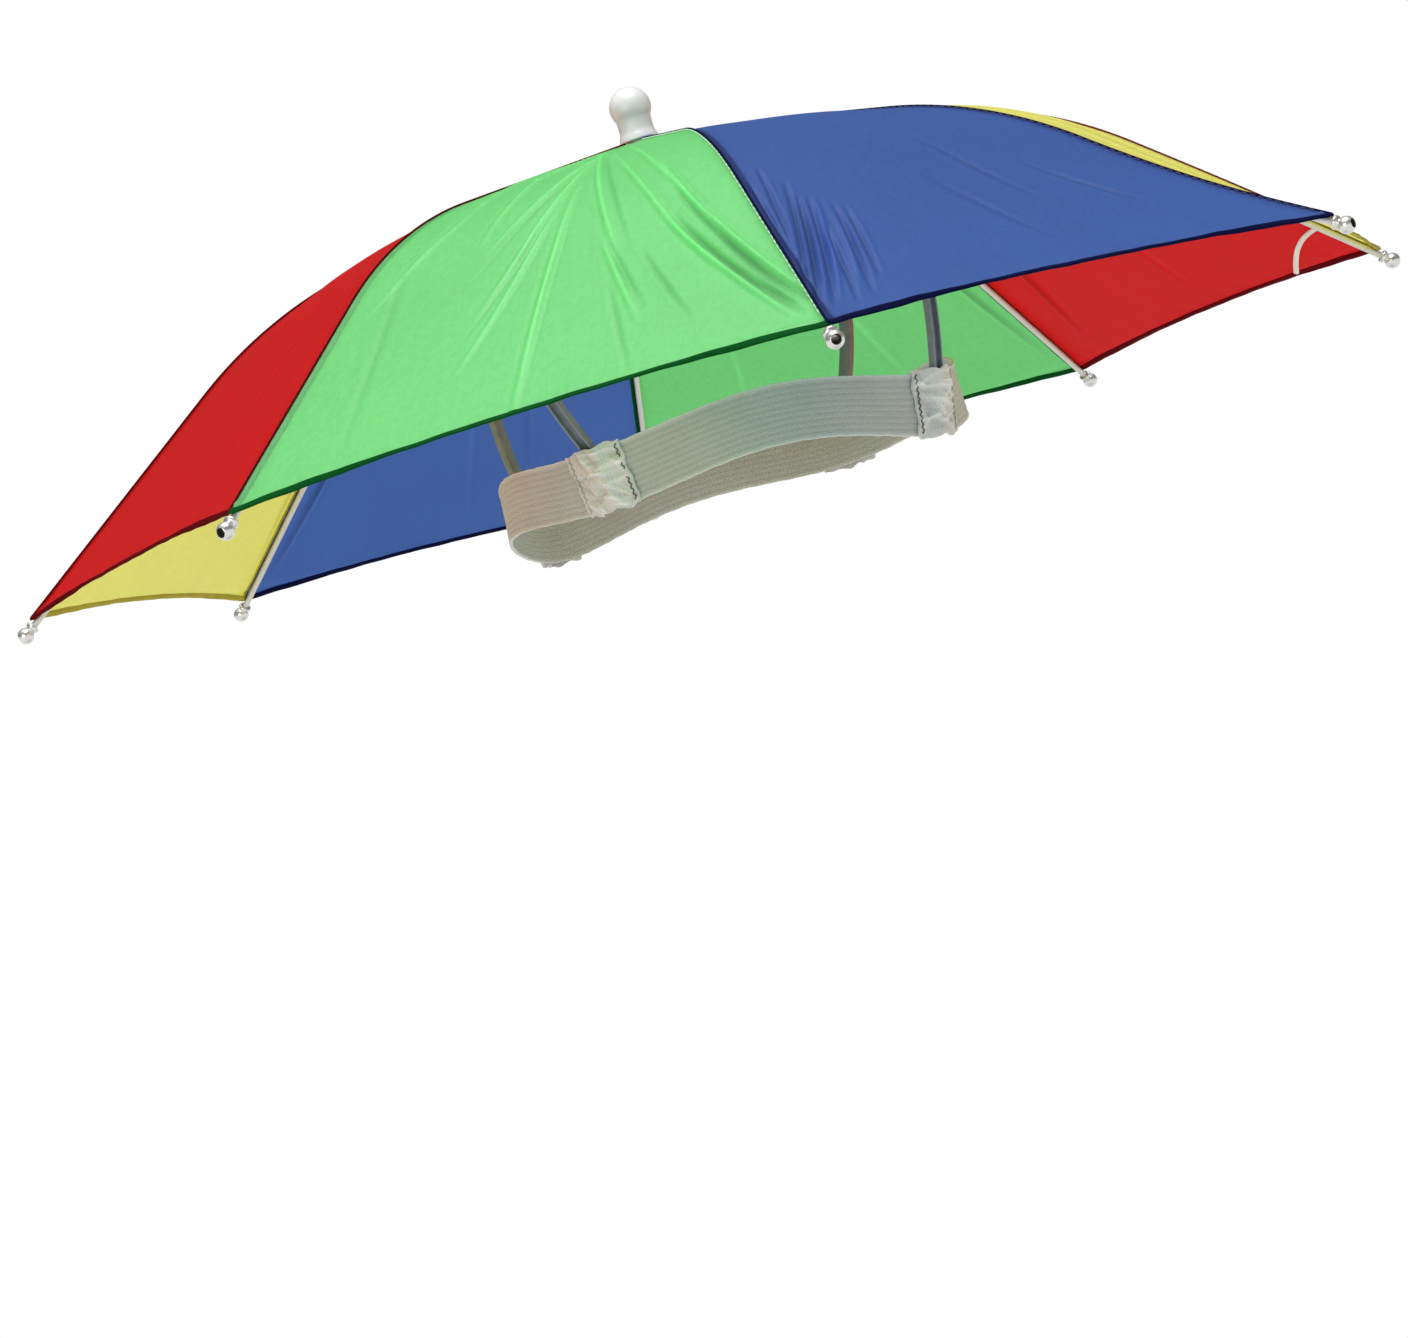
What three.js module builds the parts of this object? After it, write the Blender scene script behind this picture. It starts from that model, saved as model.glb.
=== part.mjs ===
// Umbrella hat: an eight-panel cloth canopy on spring wire ribs, over an elastic headband with four legs.
// Millimetres, +Z up along the hat's axis. The origin is the centre of the headband, level with the middle of
// its sides, which is where a head fills it. -Y is the wearer's front and -X the wearer's right.
import * as THREE from "three";

// Clearances
const GAP = 0.3; // between neighbouring pieces
const SEAM_GAP = 0.5; // between the edges of two panels, over a rib

// Canopy and ribs
const TIP_RADIUS = 265; // from the axis to the ball of each rib tip
const WIRE_RISE = 115; // from the plane of the balls to the ribs' crossing point on the axis
const INNER_SLOPE = THREE.MathUtils.degToRad(10); // of the ribs' straight inner reach
const BEND_START = 108; // radius where the ribs begin to bend down
const BEND_END = 178; // radius where they are straight again
const WIRE = 2.4; // diameter of a rib
const CLOTH = 1.1; // wall of a panel
const CLOTH_TO_TIP = 1; // between a panel's corner and the mouth of a rib tip
const CLOTH_HOLE = 6; // radius of the hole in the middle of the canopy
const HEM_BOW = 5; // how far the middle of a hem lies in from the line between its corners
const BILLOW = 1.5; // how far a panel's middle stands proud of the straight line between its ribs
const FOLD_DEPTH = 2.2; // of the deepest fold
const FOLD_WIDTH = 9; // from a fold's bottom to its shoulder

// Headband and pockets
const BAND_HALF_WIDTH = 75; // across the head, to the middle of the band's wall
const BAND_HALF_LENGTH = 93; // front to back
const BAND_HEIGHT = 21.5;
const BAND_DIP = 6; // how much lower the band sits at the brow and the nape than at the sides
const BAND_ARCH = 6.5; // how far the band rides up between two legs
const LEAN_AT_LEG = THREE.MathUtils.degToRad(12); // of the band's wall and the leg's foot, outward going up
const LEAN_BETWEEN = THREE.MathUtils.degToRad(6); // of the band's wall between two legs, inward going up
const BAND_WALL = 1.2;
const POCKET_HALF_WIDTH = 12;
const POCKET_OVERLAP = 1; // how far a pocket reaches past each edge of the band
const POCKET_WALL = 1;
const GATHER_DEPTH = 0.6;
const GATHERS = 3; // crumples up the height of a pocket

// Legs and their plate
const RIM_LIFT = 5.25; // the plane of the balls above the origin
const LEG_WIDTH = 5.2;
const LEG_DEPTH = 2.8;
const LEG_SHEET = 0.8; // the metal of the channel
const LEG_TOP = 83; // height of the legs' level reach above the origin
const LEG_SHOULDER = 70; // radius where the level reach ends
const LEG_SPREAD = 110; // radius that pulls the shoulder's curve outward
const LEG_END_CLEARANCE = 2; // from the foot of a leg to the bottom of its pocket
const PLATE_RADIUS = 17;
const PLATE_THICKNESS = 3;

// Hub, shaft, runner and stretchers
const SHAFT_RADIUS = 4;
const HUB_RADIUS = 8.2;
const HUB_FLANGE_RADIUS = 14;
const FLANGE_THICKNESS = 3;
const COLLAR_RADIUS = 7; // of the sleeves that take the shaft
const COLLAR_LENGTH = 6;
const RUNNER_RADIUS = 9;
const RUNNER_FLANGE_RADIUS = 13;
const RUNNER_HEIGHT = 12;
const RUNNER_DROP = 19.5; // from the hub's flange to the runner's middle
const STRETCHER_WIDTH = 3;
const STRETCHER_DEPTH = 1.6;
const STRETCHER_REACH = 106; // radius where a stretcher props its rib

// Finial
const BOSS_RADIUS = 3.6; // the hub's pin, inside the finial
const BOSS_LENGTH = 7;
const KNOB_RADIUS = 7.8;
const KNOB_HEIGHT = 13; // the knob's centre above the foot of the finial
const WAIST_RADIUS = 6.4;
const FINIAL_FOOT_RADIUS = 7.2;
// The finial below its knob, upward. rise is a share of KNOB_HEIGHT.
const FINIAL_STEM = [
  { radius: FINIAL_FOOT_RADIUS, rise: 0 },
  { radius: FINIAL_FOOT_RADIUS, rise: 0.06 },
  { radius: WAIST_RADIUS, rise: 0.25 },
  { radius: WAIST_RADIUS, rise: 0.38 },
];

// Rib tips
const BALL_RADIUS = 3;
const TIP_NECK = 2.7; // from the tip's mouth to where the ball begins
const TIP_WALL = 0.8;
const EYE_RADIUS = 1.4; // the hole in the end of the ball
const EYE_DEPTH = 2;
const WIRE_ENGAGEMENT = 4.4; // how far a wire runs into its tip

// Closure tape, under the left front panel
const TAPE_SPAN = 40; // along the hem, from the corner to the tape's first end
const TAPE_CLIMB = 22; // up the rib, from the corner to its second end
const TAPE_WIDTH = 2.6;
const TAPE_WALL = 0.9;

// Facets
const CLOTH_ACROSS = 10;
const CLOTH_ALONG = 11;
const BAND_SIDES = 48;
const BAND_ROWS = 2;
const TURNED_SIDES = 16;
const TIP_SIDES = 8;
const KNOB_FACETS = 6; // from the waist to the top
const TAPE_STEPS = 10;

// Ribs, counterclockwise from the wearer's left. droop is how far a rib's middle sags, a share of WIRE_RISE.
const RIBS = [
  { name: "left", droop: 0 },
  { name: "back_left", droop: 0 },
  { name: "back", droop: 0 },
  { name: "back_right", droop: 0 },
  { name: "right", droop: 0 },
  { name: "front_right", droop: 0 },
  { name: "front", droop: 0.08 },
  { name: "front_left", droop: -0.02 },
];
// The panel that follows each rib, counterclockwise.
const PANELS = [
  { name: "panel_left_back_green", colour: 0x6fd67a },
  { name: "panel_back_left_blue", colour: 0x4c5fae },
  { name: "panel_back_right_yellow", colour: 0xe0da58 },
  { name: "panel_right_back_red", colour: 0xc8191c },
  { name: "panel_right_front_green", colour: 0x6fd67a },
  { name: "panel_front_right_blue", colour: 0x4c5fae },
  { name: "panel_front_left_yellow", colour: 0xe0da58 },
  { name: "panel_left_front_red", colour: 0xc8191c },
];
// Folds beside the front right rib, each from one end to the other. across runs from -1 at a panel's first rib
// to 1 at its second, reach from 0 at the hole to 1 at the hem, and depth is a share of FOLD_DEPTH.
const FOLDS = [
  { panel: "panel_right_front_green", across: [0.6, 0.9], reach: [0.55, 0.97], depth: 1 },
  { panel: "panel_right_front_green", across: [0.12, -0.05], reach: [0.4, 0.97], depth: 0.5 },
  { panel: "panel_front_right_blue", across: [-0.78, -0.88], reach: [0.68, 0.97], depth: 0.8 },
];
// Legs, by the rib that each lies under. lean is how far a leg leans outward above its pocket, and pull, a share of
// LEG_TOP, how long it keeps that lean.
const LEGS = [
  { name: "left", lean: THREE.MathUtils.degToRad(36), pull: 0.6 },
  { name: "back", lean: THREE.MathUtils.degToRad(16), pull: 0.435 },
  { name: "right", lean: THREE.MathUtils.degToRad(36), pull: 0.6 },
  { name: "front", lean: THREE.MathUtils.degToRad(16), pull: 0.435 },
];
// The panel with the closure tape.
const TAPED_PANEL = "panel_left_front_red";
// The tape's route, as shares of TAPE_SPAN along the hem and TAPE_CLIMB up from it.
const TAPE_ROUTE = [
  { along: 1, up: 0.06 },
  { along: 0.78, up: 0.42 },
  { along: 0.5, up: 0.74 },
  { along: 0.22, up: 0.93 },
  { along: 0.08, up: 1 },
];

const RIB_COUNT = RIBS.length;
const STEP = (2 * Math.PI) / RIB_COUNT;
const azimuthOf = (name) => RIBS.findIndex((rib) => rib.name === name) * STEP;

// Materials
const cloth = (colour) => new THREE.MeshStandardMaterial({ color: colour, roughness: 0.55, metalness: 0 });
const steel = new THREE.MeshStandardMaterial({ color: 0x8d9292, roughness: 0.35, metalness: 0.9 });
const wireSteel = new THREE.MeshStandardMaterial({ color: 0xd6d4cc, roughness: 0.4, metalness: 0.7 });
const whitePlastic = new THREE.MeshStandardMaterial({ color: 0xd2d3d2, roughness: 0.35, metalness: 0 });
const whiteElastic = new THREE.MeshStandardMaterial({ color: 0xdcd9d2, roughness: 0.9, metalness: 0 });

const hat = new THREE.Group();
hat.name = "umbrella_hat";

function addPiece(name, geometry, material, parent = hat) {
  const piece = new THREE.Mesh(geometry, material);
  piece.name = name;
  parent.add(piece);
  return piece;
}

// One closed wall between two faces, each a function of a share across and a share along. With loop, the last
// column meets the first. The outer face is seen with along to the left of across.
function wallBetween(outer, inner, across, along, loop = false) {
  const columns = loop ? across : across + 1;
  const positions = [];
  const index = [];
  for (const face of [outer, inner]) {
    for (let j = 0; j <= along; j++) {
      for (let i = 0; i < columns; i++) positions.push(...face(i / across, j / along).toArray());
    }
  }
  const at = (side, i, j) => (side * (along + 1) + j) * columns + (i % columns);
  const quad = (a, b, c, d) => index.push(a, b, c, a, c, d);
  for (let i = 0; i < across; i++) {
    for (let j = 0; j < along; j++) {
      quad(at(0, i, j), at(0, i + 1, j), at(0, i + 1, j + 1), at(0, i, j + 1));
      quad(at(1, i, j), at(1, i, j + 1), at(1, i + 1, j + 1), at(1, i + 1, j));
    }
    quad(at(1, i, 0), at(1, i + 1, 0), at(0, i + 1, 0), at(0, i, 0));
    quad(at(0, i, along), at(0, i + 1, along), at(1, i + 1, along), at(1, i, along));
  }
  if (!loop) {
    for (let j = 0; j < along; j++) {
      quad(at(0, 0, j), at(0, 0, j + 1), at(1, 0, j + 1), at(1, 0, j));
      quad(at(1, across, j), at(1, across, j + 1), at(0, across, j + 1), at(0, across, j));
    }
  }
  const geometry = new THREE.BufferGeometry();
  geometry.setAttribute("position", new THREE.Float32BufferAttribute(positions, 3));
  geometry.setIndex(index);
  geometry.computeVertexNormals();
  return geometry;
}

// A turned piece about +Z, from a profile of [radius, height] pairs that runs upward along the outside.
function turned(profile, sides = TURNED_SIDES) {
  const points = profile.map(([radius, height]) => new THREE.Vector2(radius, height));
  return new THREE.LatheGeometry(points, sides).rotateX(Math.PI / 2);
}

// The rib line: a straight inner reach, an arc and a straight outer reach that ends at the ball.
function arcRadius(outerSlope) {
  return (BEND_END - BEND_START) / (Math.sin(outerSlope) - Math.sin(INNER_SLOPE));
}

function heightAfterBend(outerSlope) {
  const arcDrop = arcRadius(outerSlope) * (Math.cos(INNER_SLOPE) - Math.cos(outerSlope));
  return WIRE_RISE - BEND_START * Math.tan(INNER_SLOPE) - arcDrop;
}

// The outer slope that brings the line to height 0 at TIP_RADIUS, by halving.
const STEEPEST = THREE.MathUtils.degToRad(80);
const HALVINGS = 50;

function solveOuterSlope() {
  let low = INNER_SLOPE;
  let high = STEEPEST;
  for (let i = 0; i < HALVINGS; i++) {
    const middle = (low + high) / 2;
    const end = heightAfterBend(middle) - (TIP_RADIUS - BEND_END) * Math.tan(middle);
    if (end > 0) low = middle;
    else high = middle;
  }
  return (low + high) / 2;
}

const OUTER_SLOPE = solveOuterSlope();
const BEND_RADIUS = arcRadius(OUTER_SLOPE);

// How far down a sagging rib hangs at a radius, for a droop of 1.
const DROOP_PEAK = 1.8;
const droopAt = (radius) => WIRE_RISE * Math.sin(Math.PI * (radius / TIP_RADIUS) ** DROOP_PEAK);

function wireHeight(rib, radius) {
  const sag = rib.droop * droopAt(radius);
  if (radius <= BEND_START) return RIM_LIFT + WIRE_RISE - radius * Math.tan(INNER_SLOPE) - sag;
  if (radius >= BEND_END) {
    return RIM_LIFT + heightAfterBend(OUTER_SLOPE) - (radius - BEND_END) * Math.tan(OUTER_SLOPE) - sag;
  }
  const slope = Math.asin((radius - BEND_START) / BEND_RADIUS + Math.sin(INNER_SLOPE));
  const drop = BEND_RADIUS * (Math.cos(INNER_SLOPE) - Math.cos(slope));
  return RIM_LIFT + WIRE_RISE - BEND_START * Math.tan(INNER_SLOPE) - drop - sag;
}

const SLOPE_SPAN = 1; // to each side of the radius where a rib's slope is taken

function wireSlope(rib, radius) {
  const drop = wireHeight(rib, radius - SLOPE_SPAN) - wireHeight(rib, radius + SLOPE_SPAN);
  return Math.atan(drop / (2 * SLOPE_SPAN));
}

// A point at a radius over a rib's axis, raised from it by offset at right angles.
function overWire(ribIndex, radius, offset) {
  const rib = RIBS[ribIndex % RIB_COUNT];
  const slope = wireSlope(rib, radius);
  const out = radius + offset * Math.sin(slope);
  const azimuth = ribIndex * STEP;
  return new THREE.Vector3(
    out * Math.cos(azimuth),
    out * Math.sin(azimuth),
    wireHeight(rib, radius) + offset * Math.cos(slope),
  );
}

// The cloth's two faces lie this far over a wire's axis, and the ridge between two panels needs the wire's
// clearance along each panel's own slope.
const RIDGE = 1.035;
const CLOTH_INSIDE = (WIRE / 2 + GAP) * RIDGE;
const CLOTH_OUTSIDE = CLOTH_INSIDE + CLOTH;

function foldAt(panel, across, reach, halfWidth) {
  let depth = 0;
  for (const fold of FOLDS) {
    if (fold.panel !== PANELS[panel].name) continue;
    const share = (reach - fold.reach[0]) / (fold.reach[1] - fold.reach[0]);
    if (share <= 0 || share >= 1) continue;
    const centre = THREE.MathUtils.lerp(...fold.across, share);
    const away = ((across - centre) * halfWidth) / FOLD_WIDTH;
    depth += fold.depth * FOLD_DEPTH * Math.sin(Math.PI * share) * Math.exp(-away * away);
  }
  return depth;
}

// A point of a panel: across from -1 to 1 between its ribs, radius at its ribs, offset over the wire's axis.
function panelPoint(panel, across, radius, offset) {
  const first = overWire(panel, radius, offset);
  const second = overWire(panel + 1, radius, offset);
  const middle = (panel + 0.5) * STEP;
  const along = second.clone().sub(first).setZ(0).normalize();
  first.addScaledVector(along, SEAM_GAP / 2 / Math.cos(STEP / 2));
  second.addScaledVector(along, -SEAM_GAP / 2 / Math.cos(STEP / 2));
  const point = first.clone().lerp(second, (across + 1) / 2);
  const reach = (radius - CLOTH_HOLE) / (CLOTH_REACH - CLOTH_HOLE);
  const slope = wireSlope(RIBS[panel], radius);
  const halfWidth = radius * Math.sin(STEP / 2);
  const billow = BILLOW * (1 - across * across) * Math.sin(Math.PI * reach);
  const proud = billow - foldAt(panel, across, reach, halfWidth);
  point.x += proud * Math.sin(slope) * Math.cos(middle);
  point.y += proud * Math.sin(slope) * Math.sin(middle);
  point.z += proud * Math.cos(slope);
  return point;
}

// The radius of a panel's row, bowed in at the middle of the hem.
function rowRadius(reach, across) {
  const bow = HEM_BOW * Math.cos(OUTER_SLOPE) * (1 - across * across) * reach * reach;
  return THREE.MathUtils.lerp(CLOTH_HOLE, CLOTH_REACH, reach) - bow;
}

// Columns crowd towards the ribs, where the folds are.
const EDGE_CROWDING = 1.4;

function crowded(share) {
  const side = 2 * share - 1;
  return Math.sign(side) * (1 - (1 - Math.abs(side)) ** EDGE_CROWDING);
}

function addPanels() {
  PANELS.forEach(({ name, colour }, panel) => {
    const face = (offset) => (shareAcross, shareAlong) => {
      const across = crowded(shareAcross);
      return panelPoint(panel, across, rowRadius(1 - shareAlong, across), offset);
    };
    const wall = wallBetween(face(CLOTH_OUTSIDE), face(CLOTH_INSIDE), CLOTH_ACROSS, CLOTH_ALONG);
    addPiece(name, wall, cloth(colour));
  });
}

// The axis of one rib in the XZ plane, from the hub to inside its tip.
class RibLine extends THREE.Curve {
  constructor(rib) {
    super();
    this.rib = rib;
    this.start = HUB_RADIUS + GAP;
    this.end = TIP_RADIUS - TIP_AXIS * Math.cos(OUTER_SLOPE) + WIRE_ENGAGEMENT * Math.cos(OUTER_SLOPE);
  }

  getPoint(share, target = new THREE.Vector3()) {
    const radius = THREE.MathUtils.lerp(this.start, this.end, share);
    return target.set(radius, 0, wireHeight(this.rib, radius));
  }
}

// From a tip's mouth to the centre of its ball: the neck and the part of the ball that the neck's wall meets.
const TIP_BORE = WIRE / 2 + GAP;
const TIP_NECK_RADIUS = TIP_BORE + TIP_WALL;
const TIP_AXIS = TIP_NECK + Math.sqrt(BALL_RADIUS ** 2 - TIP_NECK_RADIUS ** 2);
const CLOTH_REACH = TIP_RADIUS - TIP_AXIS * Math.cos(OUTER_SLOPE) - CLOTH_TO_TIP; // of a panel's two corners
const TIP_BALL_FACETS = 4; // from the neck to the eye
const RIB_STEPS = 14;
const WIRE_SIDES = 6;

function polygon(radius, sides) {
  const shape = new THREE.Shape();
  for (let i = 0; i < sides; i++) {
    const angle = (2 * Math.PI * (i + 0.5)) / sides;
    const x = radius * Math.cos(angle);
    const y = radius * Math.sin(angle);
    if (i === 0) shape.moveTo(x, y);
    else shape.lineTo(x, y);
  }
  return shape.closePath();
}

function tipProfile() {
  const profile = [[0, WIRE_ENGAGEMENT + GAP]];
  profile.push([TIP_BORE, WIRE_ENGAGEMENT + GAP]);
  profile.push([TIP_BORE, 0]);
  profile.push([TIP_NECK_RADIUS, 0]);
  profile.push([TIP_NECK_RADIUS, TIP_NECK / 3]);
  profile.push([TIP_BORE + TIP_WALL / 2, TIP_NECK / 2]);
  profile.push([TIP_NECK_RADIUS, TIP_NECK]);
  const neckAngle = -Math.acos(TIP_NECK_RADIUS / BALL_RADIUS);
  const eyeAngle = Math.acos(EYE_RADIUS / BALL_RADIUS);
  for (let i = 1; i <= TIP_BALL_FACETS; i++) {
    const angle = THREE.MathUtils.lerp(neckAngle, eyeAngle, i / TIP_BALL_FACETS);
    profile.push([BALL_RADIUS * Math.cos(angle), TIP_AXIS + BALL_RADIUS * Math.sin(angle)]);
  }
  const eyeLip = TIP_AXIS + BALL_RADIUS * Math.sin(eyeAngle);
  profile.push([EYE_RADIUS, eyeLip - EYE_DEPTH]);
  profile.push([0, eyeLip - EYE_DEPTH]);
  return profile;
}

// The stretcher runs from the runner's flange to the underside of its rib.
function addStretcher(name, rib, spoke) {
  const start = new THREE.Vector3(RUNNER_FLANGE_RADIUS + GAP, 0, RUNNER_HEIGHT_AT);
  const drop = wireBelow + (3 / 4) * STRETCHER_DEPTH;
  const end = new THREE.Vector3(STRETCHER_REACH, 0, wireHeight(rib, STRETCHER_REACH) - drop);
  const bar = new THREE.BoxGeometry(start.distanceTo(end), STRETCHER_WIDTH, STRETCHER_DEPTH);
  const piece = addPiece(name, bar, steel, spoke);
  piece.position.copy(start).lerp(end, 0.5);
  piece.rotation.y = -Math.atan2(end.z - start.z, end.x - start.x);
}

function addRibs() {
  RIBS.forEach((rib, i) => {
    const spoke = new THREE.Group();
    spoke.rotation.z = i * STEP;
    hat.add(spoke);
    const line = new RibLine(rib);
    const wire = new THREE.ExtrudeGeometry(polygon(WIRE / 2, WIRE_SIDES), {
      extrudePath: line,
      steps: RIB_STEPS,
      bevelEnabled: false,
    });
    addPiece(`rib_${rib.name}`, wire, wireSteel, spoke);
    const end = line.getPoint(1);
    const slope = wireSlope(rib, line.end);
    const tip = addPiece(`tip_${rib.name}`, turned(tipProfile(), TIP_SIDES), steel, spoke);
    const back = WIRE_ENGAGEMENT;
    tip.rotation.y = Math.PI / 2 + slope;
    tip.position.set(end.x - back * Math.cos(slope), 0, end.z + back * Math.sin(slope));
    addStretcher(`stretcher_${rib.name}`, rib, spoke);
  });
}

// Heights of the cloth's two faces over the hub, where the ribs are straight.
const peak = RIM_LIFT + WIRE_RISE;
const clothUnder = (radius) => peak - radius * Math.tan(INNER_SLOPE) + CLOTH_INSIDE / Math.cos(INNER_SLOPE);
const clothOver = (radius) => clothUnder(radius) + CLOTH / Math.cos(INNER_SLOPE);
const wireBelow = (WIRE / 2 + GAP) / Math.cos(INNER_SLOPE); // from a wire's axis to what lies under it
const FLANGE_TOP = peak - HUB_FLANGE_RADIUS * Math.tan(INNER_SLOPE) - wireBelow;
const FLANGE_BOTTOM = FLANGE_TOP - FLANGE_THICKNESS;
const RUNNER_HEIGHT_AT = FLANGE_TOP - RUNNER_DROP;
const FINIAL_FOOT = clothOver(FINIAL_FOOT_RADIUS) + GAP;
const BOSS_TOP = FINIAL_FOOT + BOSS_LENGTH;
const SHAFT_BORE = SHAFT_RADIUS + GAP;

function addHub() {
  const shoulder = (radius) => clothUnder(radius) - GAP;
  const hub = [
    [0, FLANGE_TOP - GAP],
    [SHAFT_BORE, FLANGE_TOP - GAP],
    [SHAFT_BORE, FLANGE_BOTTOM - COLLAR_LENGTH],
    [COLLAR_RADIUS, FLANGE_BOTTOM - COLLAR_LENGTH],
    [COLLAR_RADIUS, FLANGE_BOTTOM],
    [HUB_FLANGE_RADIUS, FLANGE_BOTTOM],
    [HUB_FLANGE_RADIUS, FLANGE_TOP],
    [HUB_RADIUS, FLANGE_TOP],
    [HUB_RADIUS, shoulder(HUB_RADIUS)],
    [BOSS_RADIUS, shoulder(BOSS_RADIUS)],
    [BOSS_RADIUS, BOSS_TOP],
    [0, BOSS_TOP],
  ];
  addPiece("hub", turned(hub), whitePlastic);

  const knobCentre = FINIAL_FOOT + KNOB_HEIGHT;
  const finial = [
    [0, BOSS_TOP + GAP],
    [BOSS_RADIUS + GAP, BOSS_TOP + GAP],
    [BOSS_RADIUS + GAP, clothOver(BOSS_RADIUS + GAP) + GAP],
    ...FINIAL_STEM.map(({ radius, rise }) => [radius, FINIAL_FOOT + rise * KNOB_HEIGHT]),
  ];
  const waistAngle = -Math.acos(WAIST_RADIUS / KNOB_RADIUS);
  for (let i = 0; i < KNOB_FACETS; i++) {
    const angle = THREE.MathUtils.lerp(waistAngle, Math.PI / 2, i / KNOB_FACETS);
    finial.push([KNOB_RADIUS * Math.cos(angle), knobCentre + KNOB_RADIUS * Math.sin(angle)]);
  }
  finial.push([0, knobCentre + KNOB_RADIUS]);
  addPiece("finial", turned(finial), whitePlastic);
}

const PLATE_TOP = LEG_TOP + PLATE_THICKNESS / 2;
const PLATE_BOTTOM = LEG_TOP - PLATE_THICKNESS / 2;

function addShaftAndRunner() {
  const bottom = LEG_TOP + GAP;
  const top = FLANGE_TOP - 2 * GAP;
  addPiece("shaft", turned([[0, bottom], [SHAFT_RADIUS, bottom], [SHAFT_RADIUS, top], [0, top]]), steel);

  const low = RUNNER_HEIGHT_AT - RUNNER_HEIGHT / 2;
  const high = RUNNER_HEIGHT_AT + RUNNER_HEIGHT / 2;
  const rimLow = RUNNER_HEIGHT_AT - FLANGE_THICKNESS / 2;
  const rimHigh = RUNNER_HEIGHT_AT + FLANGE_THICKNESS / 2;
  const runner = [
    [SHAFT_BORE, low],
    [RUNNER_RADIUS, low],
    [RUNNER_RADIUS, rimLow],
    [RUNNER_FLANGE_RADIUS, rimLow],
    [RUNNER_FLANGE_RADIUS, rimHigh],
    [RUNNER_RADIUS, rimHigh],
    [RUNNER_RADIUS, high],
    [SHAFT_BORE, high],
    [SHAFT_BORE, low],
  ];
  addPiece("runner", turned(runner), whitePlastic);
}

function addLegPlate() {
  const plate = [
    [0, PLATE_BOTTOM],
    [PLATE_RADIUS, PLATE_BOTTOM],
    [PLATE_RADIUS, PLATE_TOP],
    [COLLAR_RADIUS, PLATE_TOP],
    [COLLAR_RADIUS, PLATE_TOP + COLLAR_LENGTH / 2],
    [SHAFT_BORE, PLATE_TOP + COLLAR_LENGTH / 2],
    [SHAFT_BORE, LEG_TOP],
    [0, LEG_TOP],
  ];
  addPiece("leg_plate", turned(plate), whitePlastic);
}

// The band's wall, by the angle that runs round its oval: 0 at the left side and a quarter turn at the back.
const atLeg = (angle) => Math.cos(2 * angle) ** 2;
const bandMiddle = (angle) => BAND_ARCH * (1 - atLeg(angle)) - BAND_DIP * Math.sin(angle) ** 2;
const bandLean = (angle) => LEAN_AT_LEG * atLeg(angle) - LEAN_BETWEEN * (1 - atLeg(angle));

// A point of the band: offset outward from the middle of its wall, and rise above the middle of its height.
function bandPoint(angle, offset, rise) {
  const x = BAND_HALF_WIDTH * Math.cos(angle);
  const y = BAND_HALF_LENGTH * Math.sin(angle);
  const normal = new THREE.Vector2(x / BAND_HALF_WIDTH ** 2, y / BAND_HALF_LENGTH ** 2).normalize();
  const out = offset + rise * Math.tan(bandLean(angle));
  return new THREE.Vector3(x + out * normal.x, y + out * normal.y, bandMiddle(angle) + rise);
}

function addHeadband() {
  const face = (offset) => (around, up) => {
    return bandPoint(2 * Math.PI * around, offset, (up - 0.5) * BAND_HEIGHT);
  };
  const wall = wallBetween(face(BAND_WALL / 2), face(-BAND_WALL / 2), BAND_SIDES, BAND_ROWS, true);
  addPiece("headband", wall, whiteElastic);
}

// A leg: along the band's wall in its pocket, leaning further out above it, over the shoulder and level in to
// the plate. Its line is in the XZ plane, as points of radius and height.
const LEG_OFFSET = BAND_WALL / 2 + GAP + LEG_DEPTH / 2;
const LEG_CURVE_STEPS = 12;

function legLine({ name, lean, pull }) {
  const angle = azimuthOf(name);
  const seat = (rise) => {
    const { x, y, z } = bandPoint(angle, LEG_OFFSET, rise);
    return new THREE.Vector2(Math.hypot(x, y), z);
  };
  const bend = (LEG_DEPTH / 2) * Math.tan((lean - LEAN_AT_LEG) / 2);
  const foot = seat(-BAND_HEIGHT / 2 + LEG_END_CLEARANCE);
  const knee = seat(BAND_HEIGHT / 2 + POCKET_OVERLAP + GAP + bend);
  const reach = pull * LEG_TOP;
  const out = new THREE.Vector2(knee.x + reach * Math.sin(lean), knee.y + reach * Math.cos(lean));
  const over = new THREE.Vector2(LEG_SPREAD, LEG_TOP);
  const shoulder = new THREE.Vector2(LEG_SHOULDER, LEG_TOP);
  const root = new THREE.Vector2(PLATE_RADIUS + GAP, LEG_TOP);
  return [foot, ...new THREE.CubicBezierCurve(knee, out, over, shoulder).getPoints(LEG_CURVE_STEPS), root];
}

// Extrudes a shape straight and bends it along a line in the XZ plane, with the shape's y axis to its right.
function bentAlong(line, shape) {
  const steps = line.length - 1;
  const geometry = new THREE.ExtrudeGeometry(shape, { depth: steps, steps, bevelEnabled: false });
  const right = line.slice(1).map((point, i) => {
    const run = point.clone().sub(line[i]).normalize();
    return new THREE.Vector2(run.y, -run.x);
  });
  const mitres = line.map((_, i) => {
    const before = right[Math.max(i - 1, 0)];
    const after = right[Math.min(i, steps - 1)];
    return before.clone().add(after).divideScalar(1 + before.dot(after));
  });
  const position = geometry.getAttribute("position");
  for (let i = 0; i < position.count; i++) {
    const station = Math.round(position.getZ(i));
    const out = position.getY(i);
    const { x, y } = line[station];
    position.setXYZ(i, x + mitres[station].x * out, -position.getX(i), y + mitres[station].y * out);
  }
  geometry.computeVertexNormals();
  return geometry;
}

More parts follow.
